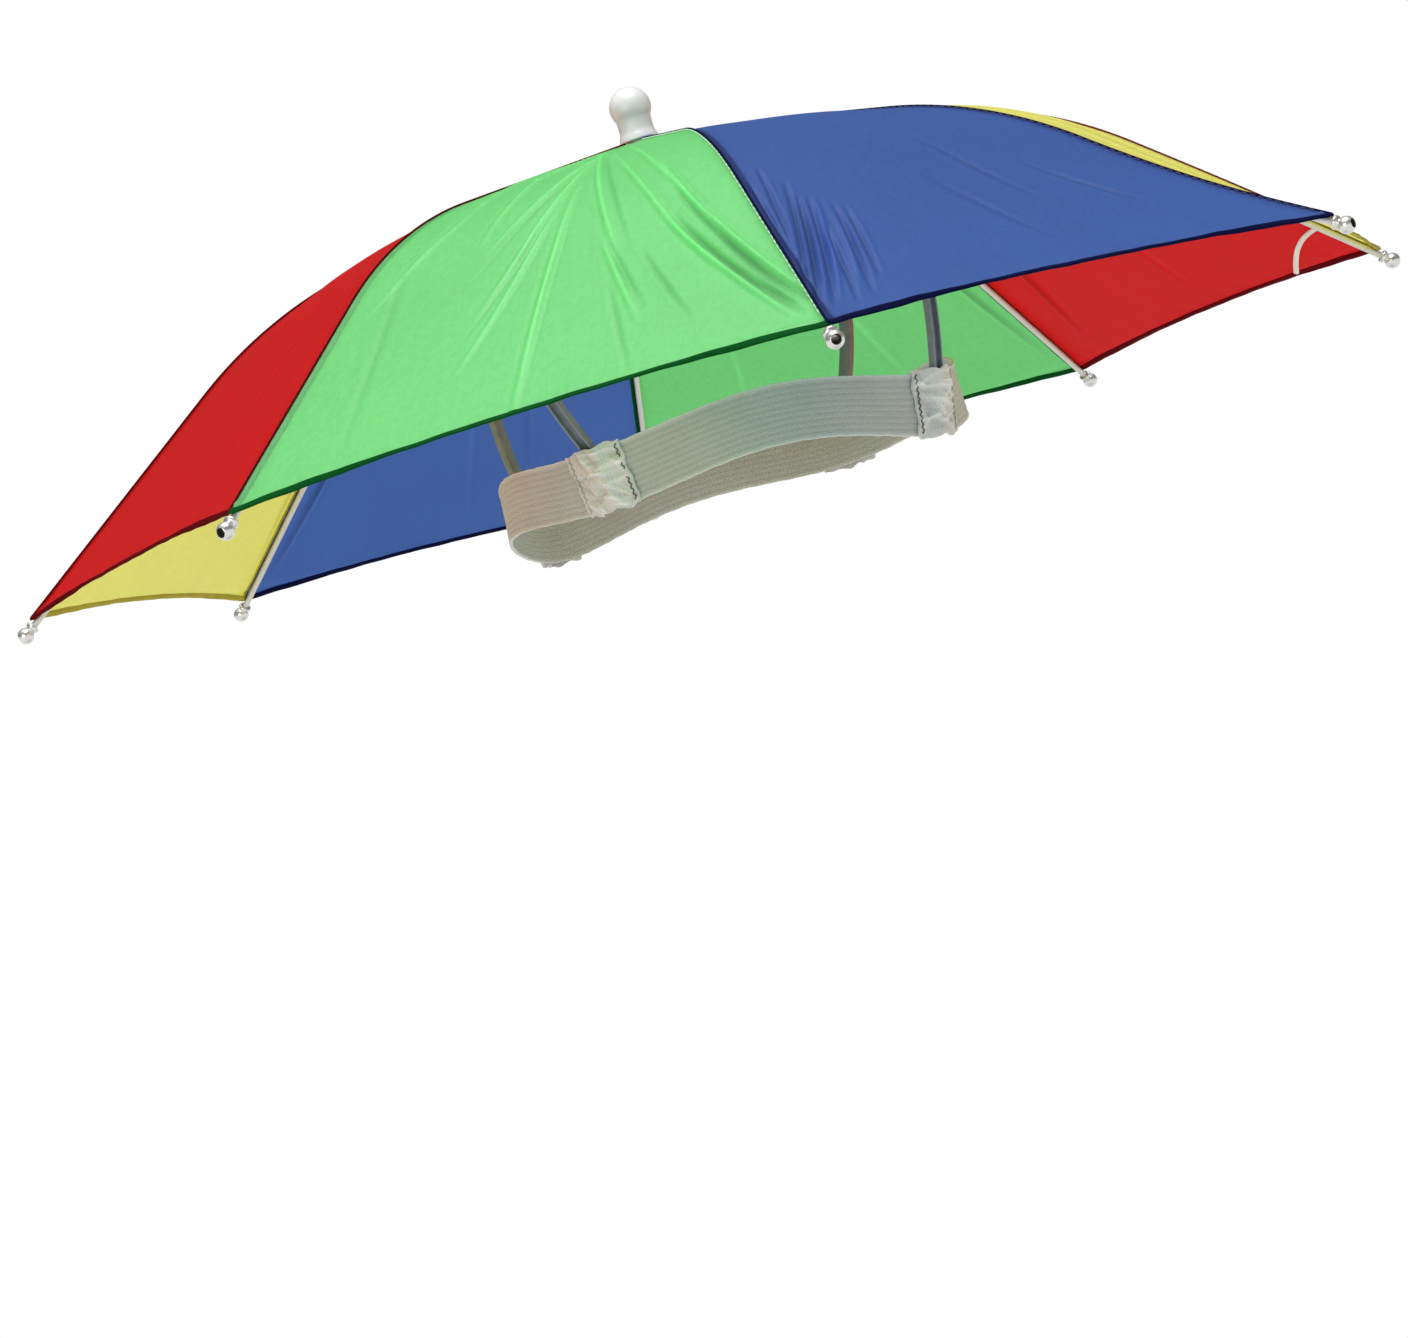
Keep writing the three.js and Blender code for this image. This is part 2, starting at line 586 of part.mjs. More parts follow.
// The channel's section, with its open side away from the head.
function channel() {
  const half = LEG_WIDTH / 2;
  const floor = LEG_DEPTH / 2;
  const shape = new THREE.Shape();
  shape.moveTo(-half, -floor);
  shape.lineTo(half, -floor);
  shape.lineTo(half, floor);
  shape.lineTo(half - LEG_SHEET, floor);
  shape.lineTo(half - LEG_SHEET, -floor + LEG_SHEET);
  shape.lineTo(-half + LEG_SHEET, -floor + LEG_SHEET);
  shape.lineTo(-half + LEG_SHEET, floor);
  shape.lineTo(-half, floor);
  return shape.closePath();
}

const POCKET_FLANK = 1.3; // run of a pocket's flank for each millimetre that it comes down to the band
const POCKET_ACROSS = 10;
const POCKET_ALONG = 9;
const GATHER_SLANT = 0.6; // crumples lean by this share of a wave from one side of a pocket to the other
const GATHER_FADE = 0.25; // share of a pocket's half width over which the crumples die out at each side

// A pocket's inner face over the band: flat over the leg, down to the band at both sides.
function pocketOffset(side) {
  const flat = LEG_WIDTH / 2 + 2 * GAP;
  const run = LEG_DEPTH * POCKET_FLANK;
  const share = THREE.MathUtils.clamp((Math.abs(side) - flat) / run, 0, 1);
  return BAND_WALL / 2 + GAP + (LEG_DEPTH + GAP) * (1 - share);
}

function addPocket({ name }) {
  const azimuth = azimuthOf(name);
  const speed = Math.hypot(BAND_HALF_WIDTH * Math.sin(azimuth), BAND_HALF_LENGTH * Math.cos(azimuth));
  const height = BAND_HEIGHT + 2 * POCKET_OVERLAP;
  const face = (over) => (across, up) => {
    const side = (2 * across - 1) * POCKET_HALF_WIDTH;
    const wave = Math.cos(2 * Math.PI * (GATHERS * up + GATHER_SLANT * across));
    const edge = Math.min(1, (1 - Math.abs(2 * across - 1)) / GATHER_FADE);
    const offset = pocketOffset(side) + over + GATHER_DEPTH * (0.5 - 0.5 * wave) * edge;
    return bandPoint(azimuth + side / speed, offset, (up - 0.5) * height);
  };
  const wall = wallBetween(face(POCKET_WALL), face(0), POCKET_ACROSS, POCKET_ALONG);
  addPiece(`pocket_${name}`, wall, whiteElastic);
}

function addLegs() {
  for (const leg of LEGS) {
    const spoke = new THREE.Group();
    spoke.rotation.z = azimuthOf(leg.name);
    hat.add(spoke);
    addPiece(`leg_${leg.name}`, bentAlong(legLine(leg), channel()), steel, spoke);
    addPocket(leg);
  }
}

// The closure tape lies under the left front panel, from its hem to its first rib.
function addClosureTape() {
  const panel = PANELS.findIndex(({ name }) => name === TAPED_PANEL);
  const route = new THREE.SplineCurve(
    TAPE_ROUTE.map(({ along, up }) => new THREE.Vector2(along * TAPE_SPAN, up * TAPE_CLIMB)),
  );
  const face = (depth) => (across, share) => {
    const centre = route.getPoint(share);
    const tangent = route.getTangent(share);
    const side = (across - 0.5) * TAPE_WIDTH;
    const along = centre.x + tangent.y * side;
    const up = centre.y - tangent.x * side;
    const radius = CLOTH_REACH - (up + TAPE_WIDTH) * Math.cos(OUTER_SLOPE);
    const halfWidth = radius * Math.sin(STEP / 2);
    return panelPoint(panel, along / halfWidth - 1, radius, CLOTH_INSIDE - GAP - depth);
  };
  addPiece("closure_tape", wallBetween(face(0), face(TAPE_WALL), 1, TAPE_STEPS), whiteElastic);
}

addPanels();
addRibs();
addHub();
addShaftAndRunner();
addLegPlate();
addHeadband();
addLegs();
addClosureTape();

export default hat;
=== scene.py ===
"""The looks of an umbrella hat: eight nylon gores on spring ribs, over an elastic headband with four legs.

Metres, +Z up along the hat's axis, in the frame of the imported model. The origin is the centre of the
headband, -Y is the wearer's front and -X the wearer's right.
"""

import logging
import math
from dataclasses import dataclass, field
from enum import Enum
from functools import cached_property
from typing import Any, Callable, NamedTuple, Sequence

import bpy
import numpy as np
from mathutils import Matrix, Vector


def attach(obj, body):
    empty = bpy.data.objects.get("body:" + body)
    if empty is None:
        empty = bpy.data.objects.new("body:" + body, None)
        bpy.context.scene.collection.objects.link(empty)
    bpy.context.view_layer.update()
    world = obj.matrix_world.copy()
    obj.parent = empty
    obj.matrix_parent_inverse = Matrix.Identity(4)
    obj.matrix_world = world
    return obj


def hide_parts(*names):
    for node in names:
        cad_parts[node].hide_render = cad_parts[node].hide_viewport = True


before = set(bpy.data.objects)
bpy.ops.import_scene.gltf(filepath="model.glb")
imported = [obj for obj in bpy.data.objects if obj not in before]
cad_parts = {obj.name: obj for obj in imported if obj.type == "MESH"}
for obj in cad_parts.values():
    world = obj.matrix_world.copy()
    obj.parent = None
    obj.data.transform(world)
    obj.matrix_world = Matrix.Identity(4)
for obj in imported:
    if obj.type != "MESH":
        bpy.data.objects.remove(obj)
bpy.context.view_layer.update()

LOG = logging.getLogger("umbrella_hat")
Array = np.ndarray
Colour = tuple[float, float, float]
RadiusAt = Callable[[Array, Array, Array], Array]
Socket = bpy.types.NodeSocket
Tree = bpy.types.NodeTree
Piece = bpy.types.Object
Material = bpy.types.Material
MM = 0.001
ON_AXIS = 0.0001 * MM
GAP = 0.3 * MM
BODY = "root"


class Hue(Enum):
    """The four colours of cloth."""

    GREEN = "green"
    BLUE = "blue"
    YELLOW = "yellow"
    RED = "red"


class Rib(NamedTuple):
    """A rib by its place on the hat. droop is how far its middle sags, a share of the ribs' rise.

    painted_highlight_thread is for a seam whose thread stands out pale from the cloth: a painted highlight
    along the seam.
    """

    name: str
    droop: float = 0.0
    painted_highlight_thread: bool = False


class Gore(NamedTuple):
    """A cloth panel, by the node that it stands for, and its colour."""

    node: str
    hue: Hue


class Waves(NamedTuple):
    """Uneven waves in the cloth: their seed, which the gore's number is added to, and their lengths.

    slant is how much the second place counts.
    """

    seed: int
    lengths: tuple[float, ...]
    slant: float = 1.0

    def at(self, gore: int, first: Array, second: Array) -> Array:
        """Adds the waves up.

        Args:
            gore: The gore's number.
            first: The first place, in the unit of the lengths.
            second: The second place.

        Returns:
            The sum at each place, about -1 to 1.
        """
        draw = np.random.default_rng(self.seed + gore)
        total = np.zeros_like(first)
        for length in self.lengths:
            angle = draw.uniform(-0.5, 0.5)
            phase = draw.uniform(0, math.tau)
            along = first * math.cos(angle) + second * self.slant * math.sin(angle)
            total += np.sin(math.tau * along / length + phase) / len(self.lengths)
        return total


class Crease(NamedTuple):
    """A fold in a gore, in its shape and in the shade painted along it.

    across runs from -1 at the gore's first rib to 1 at its second, and reach from 0 at the hub to 1 at the
    hem. Depth and width are in millimetres, and a negative depth stands proud. bow moves its middle aside.
    """

    across: tuple[float, float]
    reach: tuple[float, float]
    depth: float
    width: float
    bow: float = 0.0


RIBS = (
    Rib("left"),
    Rib("back_left", painted_highlight_thread=True),
    Rib("back"),
    Rib("back_right"),
    Rib("right"),
    Rib("front_right", painted_highlight_thread=True),
    Rib("front", 0.08),
    Rib("front_left", -0.02),
)
GORES = (
    Gore("panel_left_back_green", Hue.GREEN),
    Gore("panel_back_left_blue", Hue.BLUE),
    Gore("panel_back_right_yellow", Hue.YELLOW),
    Gore("panel_right_back_red", Hue.RED),
    Gore("panel_right_front_green", Hue.GREEN),
    Gore("panel_front_right_blue", Hue.BLUE),
    Gore("panel_front_left_yellow", Hue.YELLOW),
    Gore("panel_left_front_red", Hue.RED),
)
STEP = math.tau / len(RIBS)
DARKEST_FIRST = (Hue.BLUE, Hue.RED, Hue.GREEN, Hue.YELLOW)

PUCKERS = Waves(10, (7 * MM, 11 * MM, 17 * MM), 0.3)
HEM_PULLS = Waves(30, (13 * MM, 21 * MM, 34 * MM), 0.4)
CROWN_PULLS = Waves(50, (0.22, 0.34, 0.58))
SLACK = Waves(70, (50 * MM, 80 * MM, 130 * MM), 1.6)
SELVEDGE_WAVES = Waves(90, (9 * MM, 15 * MM), 4 * MM)

SIDE_GREEN = "panel_right_front_green"
FRONT_BLUE = "panel_front_right_blue"
# Each crease's depth also sets the shade painted along it: dark in a valley, a painted highlight where the
# crease stands proud.
CREASES = {
    SIDE_GREEN: (
        Crease((0.38, 0.78), (0.45, 0.87), -0.8, 1.1),
        Crease((0.65, 0.956), (0.71, 0.97), 1.7, 1.2),
        Crease((0.6, 0.925), (0.7, 0.97), -0.9, 1.0),
        Crease((0.7, 0.985), (0.66, 0.95), 1.6, 1.0),
        Crease((0.74, 1.02), (0.66, 0.95), -0.8, 0.9),
        Crease((0.8, 0.95), (0.77, 0.95), 0.7, 3.0),
        Crease((0.87, 0.95), (0.885, 0.95), 0.8, 0.8),
        Crease((0.66, 0.82), (0.54, 0.78), -0.6, 0.9),
        Crease((0.5, 0.8), (0.41, 0.74), -0.8, 1.1),
        Crease((0.29, 0.38), (0.42, 0.77), -1.0, 1.1, -0.02),
        Crease((0.33, 0.43), (0.46, 0.75), 0.6, 0.9),
        Crease((0.36, -0.3), (0.38, 0.5), -0.8, 1.0),
        Crease((0.4, -0.3), (0.41, 0.68), -0.9, 1.0),
        Crease((0.36, -0.32), (0.44, 0.72), 0.5, 0.9),
        Crease((0.32, -0.26), (0.45, 0.79), -0.9, 1.0),
        Crease((0.2, -0.04), (0.56, 1.0), -1.0, 1.1, -0.04),
        Crease((0.14, -0.3), (0.57, 0.89), -0.8, 1.0),
        Crease((0.11, -0.32), (0.6, 0.84), 0.4, 0.8),
        Crease((-0.55, -0.86), (0.54, 0.72), -0.5, 1.1),
        Crease((0.31, 0.42), (0.71, 0.89), -0.8, 1.0),
        Crease((0.34, 0.45), (0.72, 0.87), 0.6, 0.9),
        Crease((0.48, 0.6), (0.76, 0.91), 0.8, 0.9),
        Crease((0.32, 0.36), (0.79, 0.98), 0.5, 1.0),
        Crease((-0.08, -0.34), (0.36, 0.66), -0.6, 1.1),
        Crease((-0.3, -0.62), (0.18, 0.62), -0.5, 1.2),
        Crease((-0.78, -0.66), (0.6, 0.96), 0.3, 1.6, 0.02),
    ),
    FRONT_BLUE: (
        Crease((-0.86, -0.95), (0.66, 0.84), 1.0, 0.9),
        Crease((-0.78, -0.99), (0.7, 0.92), 1.5, 1.0),
        Crease((-0.77, -0.985), (0.73, 0.96), 1.9, 1.2),
        Crease((-0.73, -0.94), (0.74, 0.97), 1.5, 1.0),
        Crease((-0.75, -0.85), (0.79, 0.97), 1.2, 0.9),
        Crease((-0.64, -0.78), (0.76, 0.96), 1.3, 1.0),
        Crease((-0.6, -0.71), (0.77, 0.93), 1.1, 0.9),
        Crease((-0.955, -0.965), (0.69, 0.85), 0.9, 0.8),
        Crease((-0.955, -0.975), (0.83, 0.97), 0.8, 0.7),
        Crease((-0.7, -0.9), (0.74, 0.96), -0.8, 0.9),
        Crease((-0.67, -0.81), (0.78, 0.95), -0.6, 0.9),
        Crease((-0.1, 0.06), (0.72, 0.92), 0.4, 1.8),
        Crease((0.45, 0.62), (0.72, 0.87), 0.6, 1.5),
        Crease((0.15, 0.25), (0.62, 0.82), 0.4, 1.6),
    ),
    "panel_right_back_red": (
        Crease((-0.3, -0.2), (0.45, 0.95), -0.35, 1.4, 0.02),
        Crease((0.25, 0.4), (0.5, 0.95), -0.35, 1.4, 0.02),
        Crease((0.85, 0.93), (0.6, 0.95), 1.1, 1.3),
    ),
    "panel_back_right_yellow": (
        Crease((0.2, 0.32), (0.4, 0.9), -0.6, 1.3, 0.03),
        Crease((-0.85, -0.93), (0.6, 0.95), 1.2, 1.3),
        Crease((-0.3, -0.45), (0.5, 0.9), -0.5, 1.3),
    ),
    "panel_back_left_blue": (
        Crease((0.1, -0.05), (0.4, 0.95), -0.6, 1.3, 0.02),
        Crease((0.8, 0.92), (0.62, 0.96), 1.3, 1.3),
        Crease((-0.25, -0.35), (0.55, 0.9), 0.6, 1.3),
    ),
    "panel_left_back_green": (
        Crease((-0.15, -0.35), (0.45, 0.95), -0.7, 1.3, 0.02),
        Crease((0.35, 0.45), (0.4, 0.9), -0.6, 1.3),
        Crease((-0.82, -0.93), (0.6, 0.95), 1.2, 1.3),
    ),
    "panel_front_left_yellow": (
        Crease((0.15, 0.05), (0.42, 0.95), -0.6, 1.3, 0.02),
        Crease((-0.4, -0.55), (0.5, 0.92), -0.5, 1.3),
        Crease((0.82, 0.92), (0.62, 0.94), 1.0, 1.3),
    ),
    "panel_left_front_red": (
        Crease((-0.2, -0.05), (0.45, 0.95), -0.6, 1.3, 0.02),
        Crease((0.6, 0.8), (0.6, 0.95), 1.1, 1.4),
    ),
}
# The mesh attribute that holds painted shade, and painted highlight where it is below 0.
PAINTED_SHADE_ATTRIBUTE = "pressed"


def lerp(first: Any, second: Any, share: Any) -> Any:
    """Goes from first to second by a share."""
    return first + (second - first) * share


def keep_painted_shade(piece: Piece, shade: Array) -> None:
    """Keeps at each point of a piece its painted shade: how dark its fold is painted, or how pale its
    painted highlight is where the number is below 0.
    """
    layer = piece.data.attributes.new(PAINTED_SHADE_ATTRIBUTE, "FLOAT", "POINT")
    layer.data.foreach_set("value", np.clip(shade, -1, 1).astype(np.float32).ravel())


def softened(points: Sequence[Sequence[float]], radius: float, steps: int = 4, loop: bool = False) -> Array:
    """Rounds the corners of a line of points.

    Args:
        points: The line's corners.
        radius: How far from a corner its rounding starts, at most.
        steps: The rounding's chords.
        loop: Whether the last point leads back to the first.

    Returns:
        The points of the rounded line.
    """
    longest, shortest = 0.45, 1e-9  # a share of an edge, and metres
    corners = np.asarray(points, float)
    count = len(corners)
    rounded: list[Array] = []
    for i, corner in enumerate(corners):
        if not loop and i in (0, count - 1):
            rounded.append(corner)
            continue
        before = corners[i - 1] - corner
        after = corners[(i + 1) % count] - corner
        start = before * min(longest, radius / max(np.linalg.norm(before), shortest))
        end = after * min(longest, radius / max(np.linalg.norm(after), shortest))
        for share in np.linspace(0, 1, steps + 1):
            rounded.append(corner + start * (1 - share) ** 2 + end * share**2)
    return np.array(rounded)


def turned_about_z(points: Array, angle: float) -> Array:
    """Turns points about the hat's axis.

    Args:
        points: Points in the last axis.
        angle: The turn in radians, counterclockwise.

    Returns:
        The turned points.
    """
    cosine, sine = math.cos(angle), math.sin(angle)
    turn = np.array([[cosine, sine, 0], [-sine, cosine, 0], [0, 0, 1]])
    return points @ turn


def placing(centre: Array, basis: Array, angle: float) -> Callable[[Array], Array]:
    """A move of points to a centre, along a basis, that is then turned about the hat's axis."""
    return lambda points: turned_about_z(centre + points @ basis, angle)


def unit(vectors: Array) -> Array:
    """Gives vectors in the last axis the length 1."""
    return vectors / np.linalg.norm(vectors, axis=-1, keepdims=True)


def bell(away: Any, width: float = 1.0) -> Any:
    """A smooth bell, 1 where away is 0 and next to nothing from two widths on."""
    return np.exp(-((away / width) ** 2))


def circle(sides: int, radius: float, shift: float = 0.0) -> Array:
    """Makes a round section, counterclockwise, its first corner turned by shift, a share of a side."""
    turn = (np.arange(sides) + shift) * math.tau / sides
    return np.stack([np.cos(turn), np.sin(turn)], axis=1) * radius


def folded_channel(width: float, depth: float, sheet: float, rounding: float, steps: int) -> Array:
    """Makes the section of a metal strip folded to a channel, open at its top.

    Args:
        width: The channel's width.
        depth: Its depth.
        sheet: The thickness of the strip.
        rounding: How far from a corner its rounding starts.
        steps: The rounding's chords.

    Returns:
        The corners, counterclockwise.
    """
    half, floor = width / 2, depth / 2
    corners = [
        (-half, -floor), (half, -floor), (half, floor), (half - sheet, floor),
        (half - sheet, -floor + sheet), (-half + sheet, -floor + sheet), (-half + sheet, floor),
        (-half, floor),
    ]
    return softened(corners, rounding, steps, loop=True)


@dataclass
class MeshMaker:
    """Collects points and faces, and makes them one piece."""

    points: list[Array] = field(default_factory=list)
    faces: list[list[int]] = field(default_factory=list)
    corners: list[Array] = field(default_factory=list)
    total: int = 0

    def add_points(self, points: Array) -> Array:
        """Adds points.

        Args:
            points: An array whose last axis holds x, y and z.

        Returns:
            The points' numbers, laid out as the points are.
        """
        flat = points.reshape(-1, 3)
        numbers = np.arange(self.total, self.total + len(flat)).reshape(points.shape[:-1])
        self.points.append(flat)
        self.total += len(flat)
        return numbers

    def add_quads(self, numbers: Array, uv: Array) -> None:
        """Joins a grid of points with quads, seen with its rows going up and its columns to the right.

        Args:
            numbers: The points' numbers, in rows and columns.
            uv: The places on the cloth or metal, in metres, laid out as the points are.
        """
        faces, corners = (
            np.stack([grid[:-1, :-1], grid[:-1, 1:], grid[1:, 1:], grid[1:, :-1]], axis=2)
            for grid in (numbers, uv)
        )
        self.faces += faces.reshape(-1, 4).tolist()
        self.corners.append(corners.reshape(-1, 2))

    def add_cap(self, ring: Array) -> None:
        """Closes a ring of points with one face."""
        self.faces.append(ring.tolist())
        self.corners.append(np.zeros((len(ring), 2)))

    def add_fan(self, ring: Array, pole: Array, upward: bool) -> None:
        """Joins a ring of points to one point.

        Args:
            ring: The ring's numbers, counterclockwise, with the first one again at the end.
            pole: The number of the point in the middle.
            upward: Whether the fan faces up.
        """
        for first, second in zip(ring[:-1], ring[1:]):
            edge = (first, second) if upward else (second, first)
            self.faces.append([int(number) for number in (*edge, pole)])
            self.corners.append(np.zeros((3, 2)))

    def add_wall(self, outer: Array, inner: Array, uv: Array, loop: bool = False) -> None:
        """Adds a closed wall between two faces.

        Args:
            outer: The outer face's points, in rows and columns.
            inner: The inner face's points.
            uv: The places on the cloth, with one more column where the wall is a loop.
            loop: Whether the last column meets the first.
        """
        faces = [self.add_points(outer), self.add_points(inner)]
        if loop:
            faces = [np.concatenate([face, face[:, :1]], axis=1) for face in faces]
        near, far = faces
        self.add_quads(near, uv)
        self.add_quads(far[:, ::-1], uv[:, ::-1])
        self.add_quads(np.stack([far[0], near[0]]), np.stack([uv[0], uv[0]]))
        self.add_quads(np.stack([near[-1], far[-1]]), np.stack([uv[-1], uv[-1]]))
        if not loop:
            self.add_quads(np.stack([near[:, 0], far[:, 0]]), np.stack([uv[:, 0], uv[:, 0]]))
            self.add_quads(np.stack([far[:, -1], near[:, -1]]), np.stack([uv[:, -1], uv[:, -1]]))

    def add_sweep(self, path: Array, side: Array, up: Array, section: Array) -> None:
        """Adds a closed bar of one section along a path.

        Args:
            path: The points of the path.
            side: For each point, the direction of the section's first number.
            up: For each point, the direction of its second number. Side, up and the path are right-handed.
            section: The section's corners, counterclockwise, alike all along or one row for each point.
        """
        shape = np.broadcast_to(section, (len(path),) + section.shape[-2:])
        rings = path[:, None] + side[:, None] * shape[..., :1] + up[:, None] * shape[..., 1:]
        numbers = self.add_points(rings)
        closed = np.concatenate([numbers, numbers[:, :1]], axis=1)
        run = np.concatenate([[0], np.cumsum(np.linalg.norm(np.diff(path, axis=0), axis=1))])
        first = shape[0]
        chords = np.linalg.norm(np.roll(first, -1, axis=0) - first, axis=1)
        around = np.concatenate([[0], np.cumsum(chords)])
        uv = np.stack(np.meshgrid(around, run), axis=2)
        self.add_quads(closed, uv)
        self.add_cap(numbers[0, ::-1])
        self.add_cap(numbers[-1])

    def add_spoke(self, line: Sequence[Array], angle: float, section: Array) -> None:
        """Adds a bar whose path, sides and ups lie over the +X axis, turned about the hat's axis."""
        self.add_sweep(*(turned_about_z(part, angle) for part in line), section)

    def add_turned(
        self, profile: Array, sides: int, place: Callable[[Array], Array] | None = None,
        radius_at: RadiusAt | None = None,
    ) -> None:
        """Adds a turned form about +Z.

        Args:
            profile: Rows of radius and height, going up along the outside, from the axis to the axis.
            sides: How many sides a turn has.
            place: Moves the points to where they belong.
            radius_at: Changes the radius by radius, height and angle, as for a notch.
        """
        poles = {i for i in (0, len(profile) - 1) if profile[i, 0] < ON_AXIS}
        rows = [i for i in range(len(profile)) if i not in poles]
        angle = np.arange(sides) * math.tau / sides
        radius, turn = np.meshgrid(profile[rows, 0], angle, indexing="ij")
        height = np.meshgrid(profile[rows, 1], angle, indexing="ij")[0]
        if radius_at is not None:
            radius = radius_at(radius, height, turn)
        rings = np.stack([radius * np.cos(turn), radius * np.sin(turn), height], axis=2)
        numbers = self.add_points(rings if place is None else place(rings))
        closed = np.concatenate([numbers, numbers[:, :1]], axis=1)
        run = np.concatenate([[0], np.cumsum(np.linalg.norm(np.diff(profile[rows], axis=0), axis=1))])
        around = np.linspace(0, math.tau * profile[:, 0].max(), sides + 1)
        self.add_quads(closed, np.stack(np.meshgrid(around, run), axis=2))
        for i in poles:
            pole = np.array([0.0, 0.0, profile[i, 1]])
            number = self.add_points(pole if place is None else place(pole))
            self.add_fan(closed[0 if i == 0 else -1], number, upward=i > 0)

    def piece(self, name: str, sharp: float = 40.0) -> Piece:
        """Makes the collected faces one object.

        Args:
            name: The object's name.
            sharp: The angle in degrees between two faces from which their edge stays sharp.

        Returns:
            The object, linked to the scene.
        """
        mesh = bpy.data.meshes.new(name)
        mesh.from_pydata(np.concatenate(self.points).tolist(), [], self.faces)
        layer = mesh.uv_layers.new(name="UVMap")
        layer.data.foreach_set("uv", np.concatenate(self.corners).astype(np.float32).ravel())
        mesh.polygons.foreach_set("use_smooth", np.ones(len(mesh.polygons), bool))
        mesh.set_sharp_from_angle(angle=math.radians(sharp))
        mesh.update()
        made = bpy.data.objects.new(name, mesh)
        bpy.context.scene.collection.objects.link(made)
        return made


class Nodes:
    """A node tree with short calls for what the finishes need."""

    def __init__(self, tree: Tree) -> None:
        """Keeps the tree."""
        self.tree = tree

    def feed(self, socket: Socket, value: Any) -> None:
        """Links a socket to another, or sets its value."""
        if isinstance(value, Socket):
            self.tree.links.new(value, socket)
        elif isinstance(value, tuple) and len(value) == 3 and len(socket.default_value) == 4:
            socket.default_value = (*value, 1.0)
        else:
            socket.default_value = value

    def add(self, kind: str, inputs: dict[Any, Any] | None = None, **settings: Any) -> bpy.types.Node:
        """Adds a node.

        Args:
            kind: The node's type.
            inputs: Values or sockets for its inputs, by name or number.
            **settings: The node's own settings.

        Returns:
            The node.
        """
        node = self.tree.nodes.new(kind)
        for name, value in settings.items():
            setattr(node, name, value)
        for name, value in (inputs or {}).items():
            self.feed(node.inputs[name], value)
        return node

    def math(self, operation: str, first: Any, second: Any = 0.0) -> Socket:
        """Adds a calculation and returns its result."""
        return self.add("ShaderNodeMath", {0: first, 1: second}, operation=operation).outputs[0]

    def mixed(self, share: Any, first: Any, second: Any, blend: str = "MIX") -> Socket:
        """Adds a mix of two colours and returns it."""
        inputs = {0: share, 6: first, 7: second}
        return self.add("ShaderNodeMix", inputs, data_type="RGBA", blend_type=blend).outputs[2]

    def noise(self, vector: Any, scale: Any, detail: Any) -> Socket:
        """Adds a cloudy noise and returns its value."""
        inputs = {"Vector": vector, "Scale": scale, "Detail": detail}
        return self.add("ShaderNodeTexNoise", inputs).outputs[0]

    def span(self, value: Any, low: Any, high: Any) -> Socket:
        """Spreads a value from 0..1 to low..high."""
        return self.add("ShaderNodeMapRange", {"Value": value, "To Min": low, "To Max": high}).outputs[0]

    def mask(self, value: Any, low: float, high: float, **settings: Any) -> Socket:
        """Spreads a value from low..high to 0..1."""
        return self.add("ShaderNodeMapRange", {0: value, 1: low, 2: high}, **settings).outputs[0]

    def group(self, tree: Tree, inputs: dict[str, Any]) -> bpy.types.Node:
        """Places a node group with its values."""
        node = self.tree.nodes.new("ShaderNodeGroup")
        node.node_tree = tree
        for name, value in inputs.items():
            self.feed(node.inputs[name], value)
        return node


def new_group(name: str, inputs: dict[str, Any], outputs: Sequence[str]) -> tuple[Tree, Nodes, Any, Any]:
    """Starts a shader node group.

    Args:
        name: The group's name.
        inputs: Its inputs with their first values. A value of three numbers makes a vector.
        outputs: Its outputs, all plain numbers.

    Returns:
        The tree, its helper, the input sockets and the output sockets.
    """
    tree = bpy.data.node_groups.new(name, "ShaderNodeTree")
    for label, value in inputs.items():
        kind = "NodeSocketVector" if isinstance(value, tuple) else "NodeSocketFloat"
        socket = tree.interface.new_socket(name=label, in_out="INPUT", socket_type=kind)
        socket.default_value = value
    for label in outputs:
        tree.interface.new_socket(name=label, in_out="OUTPUT", socket_type="NodeSocketFloat")
    nodes = Nodes(tree)
    return tree, nodes, nodes.add("NodeGroupInput").outputs, nodes.add("NodeGroupOutput").inputs


